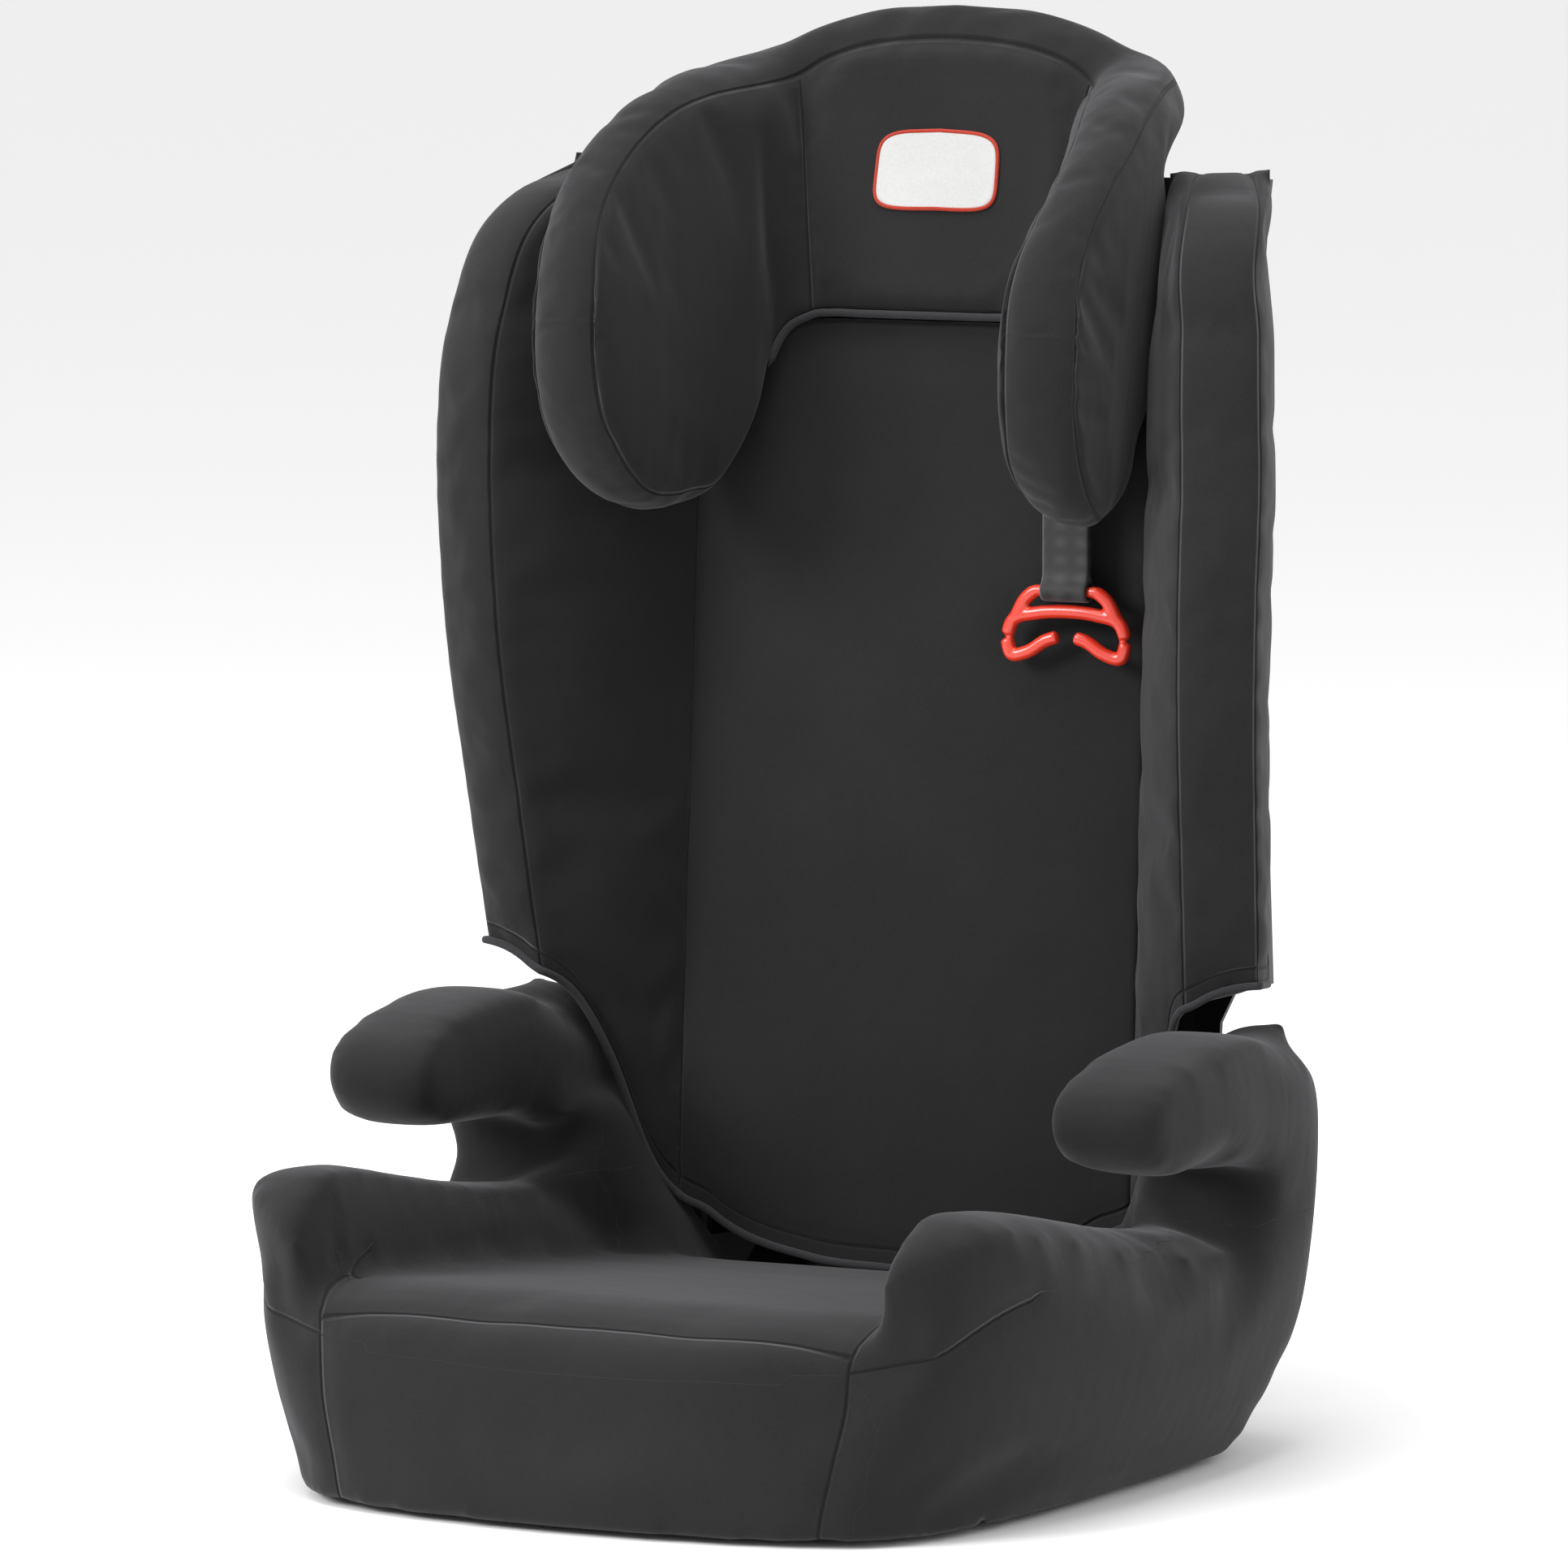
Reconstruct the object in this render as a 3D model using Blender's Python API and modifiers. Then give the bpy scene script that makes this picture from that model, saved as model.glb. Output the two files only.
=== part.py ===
"""High-back booster seat: base with belt arms, tilting backrest, sliding headrest and belt guide.

Metres, +Z up, the seat faces -Y.  The origin is on the floor under the middle of the seat.
The backrest and headrest are drawn upright in their own frame, whose origin is the hinge
axis, and the whole frame then leans back by BACK_LEAN.
"""
import math

import bmesh
import bpy
import numpy as np
from mathutils import Matrix, Vector

# ---------------------------------------------------------------- driving dimensions
GAP = 0.0003                     # clearance kept between touching pieces
BASE_LIFT = 0.003                # height of the rubber feet
PLAN_HALF_WIDTH = 0.214          # half width of the base at mid height
BASE_SPREAD = [(0.000, 0.905), (0.012, 0.930), (0.028, 0.960), (0.048, 0.992), (0.075, 1.025),
               (0.105, 1.045), (0.150, 1.062), (0.210, 1.070)]    # height, share of that width
BASE_LEVELS = [-0.030, 0.000, 0.012, 0.028, 0.048, 0.075, 0.105, 0.150, 0.240]
BASE_FRONT = -0.228              # foremost point of the base
BASE_REAR = 0.158                # rear of the plastic tub
PLAN_REAR = 0.180                # rear of the plan that flanks and arms are cut from
PLATFORM_TOP = 0.060             # plastic platform under the seat foam
ARM_INNER = 0.165                # inner face of the arms
BOLSTER_INNER = 0.152            # inner face of the seat bolsters
PAD_THICKNESS = 0.012            # padded cover over the plastic base
SHELL_WALL = 0.003
CELL_PITCH = 0.062               # spacing of the ribs under the base
CORE_CENTRE = 0.190              # middle of the plastic arm core
CORE_THICKNESS = 0.010
FOOT_RADIUS = 0.011
BOSS_RADIUS = 0.013              # bosses above the feet
FOOT_PLACES = {'foot_front_left': (-0.135, -0.145), 'foot_front_right': (0.135, -0.145),
               'foot_rear_left': (-0.155, 0.060), 'foot_rear_right': (0.155, 0.060)}
FOAM_HALF_WIDTH = 0.138

HINGE_Y = 0.178                  # axis that the backrest tilts about
HINGE_Z = 0.034
BAR_RADIUS = 0.004
BAR_HALF_LENGTH = 0.132
LUG_X = (-0.116, -0.062, 0.062, 0.116)       # ears on the base
LUG_THICKNESS = 0.008
LUG_RADIUS = 0.0085
HOOK_X = (-0.089, 0.089)         # hooks of the back shell, between the ears
HOOK_WIDTH = 0.024
HOOK_OUTER_RADIUS = 0.0095
CLIP_RADIUS = 0.0075
CLIP_THICKNESS = 0.002
CLIP_X = 0.1245
BACK_LEAN = math.radians(3.7)

BACK_FRONT = -0.0408             # front of the centre panel, in the backrest's frame
BACK_REAR = 0.0126               # flat rear of the back shell
BACK_WALL = 0.003
CHANNEL_FRONT = -0.0140          # the slider's channel behind the back foam
BACK_TOP = 0.5775
COVER_THICKNESS = 0.0015
PANEL_HALF_WIDTH = 0.122         # seam between centre panel and wing

HEAD_BOTTOM = 0.508              # lower edge of the head panel
HEAD_TOP = 0.6600
HEAD_PANEL_HALF_WIDTH = 0.0785
HEAD_PANEL_LEAN = 0.19           # rearward slope of the head panel, metres per metre
LABEL_Z = 0.578
UNDER_FRONT = -0.080
HEAD_SLAB_REAR = -0.0125         # rear of the head panel's foam
CORE_PATH = [(0.0, -0.0105), (0.084, -0.0105), (0.1045, -0.032), (0.1285, -0.172)]
WING_PLAN = [(HEAD_PANEL_HALF_WIDTH, -0.0300), (HEAD_PANEL_HALF_WIDTH + 0.001, -0.052),
             (0.1085, -0.176), (0.116, -0.188), (0.136, -0.188), (0.145, -0.175),
             (0.1465, -0.140), (0.1400, -0.095), (0.1210, -0.052), (0.1210, -0.0300)]

ROD_X = 0.085                    # guide rods of the headrest
ROD_Y = 0.0015
ROD_RADIUS = 0.0035
ROD_LOW = 0.2468
ROD_HIGH = 0.5682
SLEEVE_RADIUS = 0.0072
PIN_RADIUS = 0.004
PIN_Z = 0.452
RACK_FRONT = 0.0052
RACK_PITCH = 0.020
LEVER_SHOULDER = 0.5300
SPRING_SEAT = 0.5600
SPRING_RADIUS = 0.0034
SPRING_WIRE = 0.0006
SPRING_TURNS = 5
STEM_Y = -0.0008
CARRIER_LOW = 0.3850             # sleeves of the slider, which run on the rods
CARRIER_HIGH = 0.4385
CARRIER_FRONT = -0.0085
CARRIER_REAR = -0.0055
CARRIER_SCREW_X = (-0.040, 0.040)
CARRIER_SCREW_Z = 0.560
SCREW_RADIUS = 0.0018
RACK_SCREWS = {'rack_screw_lower': (0.0095, 0.4460), 'rack_screw_upper': (-0.0095, 0.5680)}
STRAP_X = 0.087                  # belt guide, under the headrest's wing on the +X side
STRAP_HALF_WIDTH = 0.0125
STRAP_THICKNESS = 0.0012
STRAP_TOP = (0.145, 0.486)       # where the strap leaves the wing, world y and z
HOOK_BAR = (0.145, 0.412)        # crossbar of the belt hook, world y and z
HOOK_RADIUS = 0.0033

HINGE = Vector((0.0, HINGE_Y, HINGE_Z))
LEAN = Matrix.Translation(HINGE) @ Matrix.Rotation(-BACK_LEAN, 4, 'X')
SIDE_PLANE = Matrix(((0, 0, 1, 0), (1, 0, 0, 0), (0, 1, 0, 0), (0, 0, 0, 1)))   # (u, v) to (y, z)
FRONT_PLANE = Matrix(((1, 0, 0, 0), (0, 0, 1, 0), (0, 1, 0, 0), (0, 0, 0, 1)))  # (u, v) to (x, z)


# ---------------------------------------------------------------- scene and materials
def clear_scene():
    for item in list(bpy.data.objects):
        bpy.data.objects.remove(item, do_unlink=True)


def new_collection(name):
    made = bpy.data.collections.new(name)
    bpy.context.scene.collection.children.link(made)
    return made


clear_scene()
PARTS = new_collection('booster_seat')
CUTTERS = new_collection('cutters')
CUTTERS.hide_render = True


def material(name, colour, roughness, metallic=0.0):
    made = bpy.data.materials.new(name)
    made.use_nodes = True
    shader = made.node_tree.nodes['Principled BSDF']
    shader.inputs['Base Color'].default_value = (*colour, 1.0)
    shader.inputs['Roughness'].default_value = roughness
    shader.inputs['Metallic'].default_value = metallic
    return made


SHELL_PLASTIC = material('black_polypropylene', (0.020, 0.020, 0.022), 0.45)
FABRIC = material('charcoal_polyester', (0.024, 0.024, 0.026), 0.85)
PIPING = material('piping', (0.045, 0.045, 0.048), 0.7)
FOAM = material('grey_foam', (0.32, 0.32, 0.33), 0.9)
STEEL = material('zinc_plated_steel', (0.60, 0.60, 0.62), 0.3, 1.0)
RUBBER = material('rubber', (0.030, 0.030, 0.030), 0.8)
ORANGE = material('orange_acetal', (0.80, 0.075, 0.040), 0.35)
WEBBING = material('webbing', (0.035, 0.035, 0.037), 0.7)
LABEL = material('woven_label', (0.62, 0.62, 0.62), 0.8)
ACETAL = material('grey_acetal', (0.16, 0.16, 0.17), 0.4)


# ---------------------------------------------------------------- shape tools
def add_object(name, mesh, look=None, frame=Matrix.Identity(4)):
    made = bpy.data.objects.new(name, mesh)
    PARTS.objects.link(made)
    made.matrix_world = frame
    if look:
        mesh.materials.append(look)
    return made


def smooth_line(points, steps):
    """Points on a Catmull-Rom curve through the given points, steps to each stretch."""
    held = np.array(points, float)
    padded = np.vstack([2 * held[0] - held[1], held, 2 * held[-1] - held[-2]])
    line = []
    for index in range(1, len(padded) - 2):
        before, start, end, after = padded[index - 1:index + 3]
        for step in range(steps):
            t = step / steps
            line.append(0.5 * (2 * start + (end - before) * t
                               + (2 * before - 5 * start + 4 * end - after) * t ** 2
                               + (3 * start - before - 3 * end + after) * t ** 3))
    line.append(held[-1])
    return [tuple(point) for point in line]


def mirrored(half):
    """The half outline, from the middle outwards, joined to its own mirror image in x."""
    other = [(-x, v) for x, v in reversed(half) if x > 0]
    return list(half) + other


def prism(name, outline, low, high, plane=Matrix.Identity(4), look=None, frame=Matrix.Identity(4)):
    """A flat outline in the plane's (u, v), given thickness from low to high along its normal."""
    curve = bpy.data.curves.new(name, 'CURVE')
    curve.dimensions = '2D'
    curve.fill_mode = 'BOTH'
    curve.extrude = (high - low) / 2
    spline = curve.splines.new('POLY')
    spline.points.add(len(outline) - 1)
    spline.use_cyclic_u = True
    for point, (u, v) in zip(spline.points, outline):
        point.co = (u, v, 0.0, 1.0)
    drawn = bpy.data.objects.new(name, curve)
    PARTS.objects.link(drawn)
    mesh = bpy.data.meshes.new_from_object(drawn.evaluated_get(bpy.context.evaluated_depsgraph_get()))
    bpy.data.objects.remove(drawn)
    mesh.transform(plane @ Matrix.Translation((0, 0, (low + high) / 2)))
    weld(mesh)
    return add_object(name, mesh, look, frame)


def weld(mesh):
    work = bmesh.new()
    work.from_mesh(mesh)
    bmesh.ops.remove_doubles(work, verts=work.verts, dist=1e-6)
    bmesh.ops.recalc_face_normals(work, faces=work.faces)
    work.to_mesh(mesh)
    work.free()


def box(name, low, high, look=None, frame=Matrix.Identity(4)):
    work = bmesh.new()
    size = Vector(high) - Vector(low)
    middle = (Vector(high) + Vector(low)) / 2
    bmesh.ops.create_cube(work, size=1.0, matrix=Matrix.Translation(middle) @ Matrix.Diagonal((*size, 1)))
    mesh = bpy.data.meshes.new(name)
    work.to_mesh(mesh)
    work.free()
    return add_object(name, mesh, look, frame)


def cylinder(name, start, end, radius, look=None, frame=Matrix.Identity(4), sides=20):
    """A round bar from start to end."""
    start = Vector(start)
    run = Vector(end) - start
    turn = run.to_track_quat('Z', 'Y').to_matrix().to_4x4()
    work = bmesh.new()
    bmesh.ops.create_cone(work, cap_ends=True, segments=sides, radius1=radius, radius2=radius,
                          depth=run.length, matrix=Matrix.Translation(start + run / 2) @ turn)
    mesh = bpy.data.meshes.new(name)
    work.to_mesh(mesh)
    work.free()
    mesh.shade_smooth()
    mesh.set_sharp_from_angle(angle=math.radians(40))
    return add_object(name, mesh, look, frame)


def loft(name, rings, look=None, frame=Matrix.Identity(4), closed=True):
    """Joins equal rings of points; closed rings make a solid with end caps, open ones a sheet."""
    count = len(rings[0])
    work = bmesh.new()
    verts = [[work.verts.new(point) for point in ring] for ring in rings]
    for lower, upper in zip(verts, verts[1:]):
        for index in range(count if closed else count - 1):
            after = (index + 1) % count
            work.faces.new((lower[index], lower[after], upper[after], upper[index]))
    if closed:
        work.faces.new(list(reversed(verts[0])))
        work.faces.new(verts[-1])
    bmesh.ops.recalc_face_normals(work, faces=work.faces)
    mesh = bpy.data.meshes.new(name)
    work.to_mesh(mesh)
    work.free()
    return add_object(name, mesh, look, frame)


def tube(name, points, radius, look, frame=Matrix.Identity(4), resolution=2, cyclic=False):
    """A bent rod or cord along the points."""
    curve = bpy.data.curves.new(name, 'CURVE')
    curve.dimensions = '3D'
    curve.bevel_depth = radius
    curve.bevel_resolution = resolution
    curve.use_fill_caps = True
    spline = curve.splines.new('POLY')
    spline.points.add(len(points) - 1)
    spline.use_cyclic_u = cyclic
    for point, place in zip(spline.points, points):
        point.co = (*place, 1.0)
    drawn = bpy.data.objects.new(name, curve)
    PARTS.objects.link(drawn)
    mesh = bpy.data.meshes.new_from_object(drawn.evaluated_get(bpy.context.evaluated_depsgraph_get()))
    bpy.data.objects.remove(drawn)
    weld(mesh)
    return add_object(name, mesh, look, frame)


def solidify(item, thickness, offset=-1.0):
    modifier = item.modifiers.new('thickness', 'SOLIDIFY')
    modifier.thickness = thickness
    modifier.offset = offset
    modifier.use_even_offset = True
    return item


def combine(item, operation, *others):
    """Boolean of item with each of the others, which become hidden guides."""
    for other in others:
        modifier = item.modifiers.new(operation.lower(), 'BOOLEAN')
        modifier.operation = operation
        modifier.solver = 'EXACT'
        modifier.object = other
        if other.name not in CUTTERS.objects:
            CUTTERS.objects.link(other)
            PARTS.objects.unlink(other)
        other.hide_render = True
        other.display_type = 'WIRE'
    return item


# ---------------------------------------------------------------- base
def base_plan(inset, half_width):
    """Plan outline of the base: bowed front, round corners, sides that spread towards the rear."""
    drawn_half_depth = (PLAN_REAR - BASE_FRONT) / 2
    half = smooth_line([(0.0, BASE_FRONT), (0.070, -0.2245), (0.124, -0.2140), (0.151, -0.2035),
                        (0.171, -0.185), (0.185, -0.158), (0.196, -0.115), (0.205, -0.050),
                        (0.211, 0.020), (PLAN_HALF_WIDTH, 0.080), (0.213, 0.120), (0.206, 0.150),
                        (0.188, 0.170), (0.150, 0.178)], 2)
    half.append((0.0, PLAN_REAR))
    stretch = (half_width - inset) / PLAN_HALF_WIDTH
    middle = (PLAN_REAR + BASE_FRONT) / 2
    squeeze = 1 - inset / drawn_half_depth
    return [(x * stretch, middle + (y - middle) * squeeze) for x, y in mirrored(half)]


def base_block(name, inset, low, high, frame=Matrix.Identity(4)):
    """Solid with the base's plan, tucked in towards the floor and wider towards the arms."""
    rings = []
    heights, shares = zip(*BASE_SPREAD)
    for height in [low] + [level for level in BASE_LEVELS if low < level < high] + [high]:
        width = PLAN_HALF_WIDTH * float(np.interp(height, heights, shares))
        rings.append([(x, y, height) for x, y in base_plan(inset, width)])
    return loft(name, rings, frame=frame)


def side_outline():
    """Side view of one flank: bolster, belt gap and the hooked arm above it."""
    bolster = smooth_line([(-0.235, 0.020), (-0.232, 0.085), (-0.212, 0.125), (-0.175, 0.147),
                           (-0.150, 0.149), (-0.090, 0.137), (-0.030, 0.124), (0.030, 0.113),
                           (0.066, 0.109)], 2)
    arm = smooth_line([(0.092, 0.128), (0.086, 0.146), (0.042, 0.154), (-0.008, 0.158),
                       (-0.036, 0.168), (-0.044, 0.185), (-0.033, 0.200), (0.002, 0.210),
                       (0.050, 0.2145), (0.078, 0.2100), (0.098, 0.2020), (0.124, 0.1945), (0.150, 0.184),
                       (0.167, 0.168), (0.173, 0.145), (0.166, 0.100), (0.156, 0.070), (0.143, 0.048), (0.127, 0.026)], 2)
    return [(-0.235, BASE_LIFT)] + bolster + arm + [(0.104, BASE_LIFT)]


def core_outline():
    """Side view of the plastic core inside one arm."""
    return [(0.100, 0.050), (0.107, 0.130), (0.098, 0.164), (-0.018, 0.174), (-0.028, 0.183),
            (-0.018, 0.193), (0.045, 0.203), (0.085, 0.196), (0.125, 0.184), (0.150, 0.170),
            (0.158, 0.150), (0.151, 0.100), (0.138, 0.050)]


def seat_outline():
    """Side view of the seat between the flanks."""
    top = smooth_line([(-0.240, 0.060), (-0.226, 0.084), (-0.203, 0.097), (-0.160, 0.096),
                       (-0.050, 0.086), (0.050, 0.075), (0.128, 0.069)], 2)
    return [(-0.240, BASE_LIFT)] + top + [(0.135, 0.066), (0.135, BASE_LIFT)]


def foam_outline(grow):
    return [(-0.185 - grow, PLATFORM_TOP + GAP - grow), (0.120 + grow, PLATFORM_TOP + GAP - grow),
            (0.120 + grow, 0.064 + grow), (-0.050, 0.0795 + grow), (-0.185 - grow, 0.0895 + grow)]


def shell_profile(grow=0.0):
    """Side view of the plastic tub, with its rear underside cut away for the seat crease."""
    below = BASE_LIFT + GAP - 40 * grow
    return [(-0.240, below), (0.096 + grow, below), (0.148 + grow, 0.034 - grow),
            (BASE_REAR + grow, PLATFORM_TOP + grow), (-0.240, PLATFORM_TOP + grow)]


def tub_block(name, grow):
    """The plastic tub without its cells and arms."""
    block = base_block(name, PAD_THICKNESS - grow, -0.01, 0.09)
    profile = prism(name + '_profile', shell_profile(grow), -0.30, 0.30, SIDE_PLANE)
    return combine(block, 'INTERSECT', profile)


def arm_core(name, side, grow):
    """Plate inside one arm; grow makes the cutter for the cover round it."""
    outline = core_outline()
    if grow:
        outline = [grown_point(point, outline, grow) for point in outline]
    half = CORE_THICKNESS / 2 + grow
    return prism(name, outline, side * CORE_CENTRE - half, side * CORE_CENTRE + half, SIDE_PLANE)


def grown_point(point, outline, grow):
    """The corner of an outline moved outwards by grow along its bisector."""
    index = outline.index(point)
    here = Vector(point)
    back = (here - Vector(outline[index - 1])).normalized()
    ahead = (Vector(outline[(index + 1) % len(outline)]) - here).normalized()
    turn = 1.0 if outline_area(outline) > 0 else -1.0
    normal = Vector((back.y + ahead.y, -back.x - ahead.x)) * turn
    bisector = normal.normalized()
    across = max(0.3, bisector.dot(Vector((ahead.y, -ahead.x)) * turn))
    return tuple(here + bisector * grow / across)


def outline_area(outline):
    total = 0.0
    for (x1, y1), (x2, y2) in zip(outline, outline[1:] + outline[:1]):
        total += x1 * y2 - x2 * y1
    return total / 2


def under_cells():
    """Pockets between the ribs under the base."""
    cells = []
    half = CELL_PITCH / 2 - SHELL_WALL / 2
    for column in range(-3, 4):
        for row in range(-3, 4):
            x = column * CELL_PITCH
            y = -0.038 + row * CELL_PITCH
            cells.append(((x - half, y - half, -0.02), (x + half, y + half, PLATFORM_TOP - SHELL_WALL)))
    work = bmesh.new()
    for low, high in cells:
        size = Vector(high) - Vector(low)
        place = Matrix.Translation((Vector(high) + Vector(low)) / 2) @ Matrix.Diagonal((*size, 1))
        bmesh.ops.create_cube(work, size=1.0, matrix=place)
    mesh = bpy.data.meshes.new('under_cells')
    work.to_mesh(mesh)
    work.free()
    grid = add_object('under_cells', mesh)
    inside = base_block('inside_block', PAD_THICKNESS + SHELL_WALL, -0.03, 0.09)
    slope = [(-0.24, -0.02), (0.094, -0.02), (0.145, 0.034), (0.153, PLATFORM_TOP),
             (-0.24, PLATFORM_TOP)]
    profile = prism('inside_profile', slope, -0.30, 0.30, SIDE_PLANE)
    return combine(grid, 'INTERSECT', inside, profile)


def hinge_lug(name, x):
    """One of the ears that carry the hinge bar behind the base."""
    arc = [(HINGE_Y + LUG_RADIUS * math.cos(a), HINGE_Z + LUG_RADIUS * math.sin(a))
           for a in np.linspace(math.radians(-80), math.radians(80), 9)]
    outline = [(0.118, 0.030), (0.148, 0.024)] + arc + [(0.118, 0.046)]
    return prism(name, outline, x - LUG_THICKNESS / 2, x + LUG_THICKNESS / 2, SIDE_PLANE)


def make_base_shell():
    shell = tub_block('base_shell', 0.0)
    shell.data.materials.append(SHELL_PLASTIC)
    combine(shell, 'DIFFERENCE', under_cells())
    for side in (-1, 1):
        combine(shell, 'UNION', arm_core(f'core_{side}', side, 0.0))
    for name, (x, y) in FOOT_PLACES.items():
        boss = cylinder('boss_' + name, (x, y, BASE_LIFT + GAP), (x, y, PLATFORM_TOP - 0.001), BOSS_RADIUS)
        combine(shell, 'UNION', boss)
    for x in LUG_X:
        combine(shell, 'UNION', hinge_lug(f'lug_{x}', x))
    bore = cylinder('bar_bore', (-0.2, HINGE_Y, HINGE_Z), (0.2, HINGE_Y, HINGE_Z), BAR_RADIUS + GAP)
    combine(shell, 'DIFFERENCE', bore)


def make_base_cover():
    cover = base_block('base_cover', 0.0, -0.01, 0.24)
    cover.data.materials.append(FABRIC)
    seat = prism('seat_band', seat_outline(), -BOLSTER_INNER - 0.001, BOLSTER_INNER + 0.001, SIDE_PLANE)
    for side in (-1, 1):
        low, high = sorted((side * BOLSTER_INNER, side * 0.26))
        combine(seat, 'UNION', prism(f'flank_{side}', side_outline(), low, high, SIDE_PLANE))
    combine(cover, 'INTERSECT', seat)
    for side in (-1, 1):
        low, high = sorted((side * 0.10, side * ARM_INNER))
        inner_space = [(-0.30, 0.151), (0.20, 0.151), (0.20, 0.26), (-0.30, 0.26)]
        combine(cover, 'DIFFERENCE', prism(f'arm_space_{side}', inner_space, low, high, SIDE_PLANE))
    combine(cover, 'DIFFERENCE', tub_block('tub_cutter', GAP))
    for side in (-1, 1):
        combine(cover, 'DIFFERENCE', arm_core(f'core_cutter_{side}', side, GAP))
    room = FOAM_HALF_WIDTH + GAP
    combine(cover, 'DIFFERENCE', prism('foam_space', foam_outline(2 * GAP), -room, room, SIDE_PLANE))
    wedge = [(0.0964, -0.02), (0.0964, 0.0030), (0.1484, 0.0335), (0.1600, 0.0590), (0.30, 0.0590),
             (0.30, -0.02)]
    combine(cover, 'DIFFERENCE', prism('rear_wedge', wedge, -0.26, 0.26, SIDE_PLANE))


def make_base_small_parts():
    prism('seat_foam', foam_outline(0.0), -FOAM_HALF_WIDTH, FOAM_HALF_WIDTH, SIDE_PLANE, FOAM)
    for name, (x, y) in FOOT_PLACES.items():
        cylinder(name, (x, y, 0.0), (x, y, BASE_LIFT), FOOT_RADIUS, RUBBER, sides=24)
    cylinder('hinge_bar', (-BAR_HALF_LENGTH, HINGE_Y, HINGE_Z), (BAR_HALF_LENGTH, HINGE_Y, HINGE_Z),
             BAR_RADIUS, STEEL)
    for side, name in ((-1, 'hinge_clip_left'), (1, 'hinge_clip_right')):
        start = side * CLIP_X
        end = start + side * CLIP_THICKNESS
        clip = cylinder(name, (start, HINGE_Y, HINGE_Z), (end, HINGE_Y, HINGE_Z), CLIP_RADIUS, STEEL)
        hole = cylinder(name + '_hole', (side * 0.12, HINGE_Y, HINGE_Z), (side * 0.14, HINGE_Y, HINGE_Z),
                        BAR_RADIUS + GAP)
        combine(clip, 'DIFFERENCE', hole)


# ---------------------------------------------------------------- backrest
def curve_value(points, height):
    """The second value of the points at a height, on a smooth line through them."""
    line = smooth_line(points, 8)
    return float(np.interp(height, [p[0] for p in line], [p[1] for p in line]))


def back_half_width(height):
    return curve_value([(0.000, 0.205), (0.180, 0.2135), (0.270, 0.2190), (0.375, 0.2250),
                        (0.450, 0.2258), (0.520, 0.218), (0.560, 0.205), (BACK_TOP, 0.190)], height)


def wing_front(height):
    """Depth of the wing's front seam."""
    return curve_value([(0.000, -0.055), (0.176, -0.0975), (0.257, -0.118), (0.337, -0.137),
                        (0.420, -0.146), (0.500, -0.144), (0.550, -0.125), (BACK_TOP, -0.080)], height)


BACK_LEVELS = [0.000, 0.060, 0.120, 0.180, 0.240, 0.300, 0.370, 0.440, 0.500, 0.535, 0.560, BACK_TOP]


def back_side(height):
    """Half width at the rear edge of the wing's outer side, which draws in behind the front."""
    return back_half_width(height) - 0.5 * max(0.0, -0.057 - wing_front(height) - 0.021)


def cover_half(height, inset):
    """Half plan of the back cover, from the middle to the rear edge of its outer side."""
    width = back_half_width(height) - inset
    front = wing_front(height) + inset
    seam = 0.816 * (width + inset)
    return [(0.0, BACK_FRONT + inset), (PANEL_HALF_WIDTH, BACK_FRONT + inset), (seam, front),
            (width - 0.006, front + 0.009), (width, front + 0.021),
            (back_side(height) - inset - 0.001, -0.057)]


def shell_half(height, inset):
    """Half plan of the back shell, from the middle to the front edge of its side."""
    width = back_side(height)
    return [(0.0, BACK_REAR - inset), (0.65 * width, BACK_REAR - inset),
            (0.81 * width - 0.5 * inset, 0.004 - inset), (0.92 * width - 0.8 * inset, -0.022 - 0.6 * inset),
            (0.975 * width - inset, -0.045), (0.985 * width - inset, -0.055)]


def full_ring(half, height):
    left = [(-x, y) for x, y in reversed(half) if x > 0]
    return [(x, y, height) for x, y in left + half]


def shifted(line, distance):
    """An open line moved to its right by the distance, corner by corner."""
    held = np.array(line, float)
    run = np.gradient(held, axis=0)
    run /= np.linalg.norm(run, axis=1)[:, None]
    moved = held + distance * np.stack([run[:, 1], -run[:, 0]], axis=1)
    return [tuple(point) for point in moved]


def hem_line():
    """Half of the back cover's hem in front view: a U between the arms."""
    return smooth_line([(0.0, 0.0355), (0.049, 0.0385), (0.103, 0.0566), (0.136, 0.087),
                        (0.150, 0.136), (0.160, 0.162), (0.181, 0.180), (0.240, 0.191)], 3)


def hem_outline(margin):
    """Front view of the back cover: the hem is a U between the arms, the top is open."""
    half = [(x, z - margin) for x, z in hem_line()]
    return mirrored(half + [(0.240, 0.640), (0.0, 0.640)])


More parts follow.
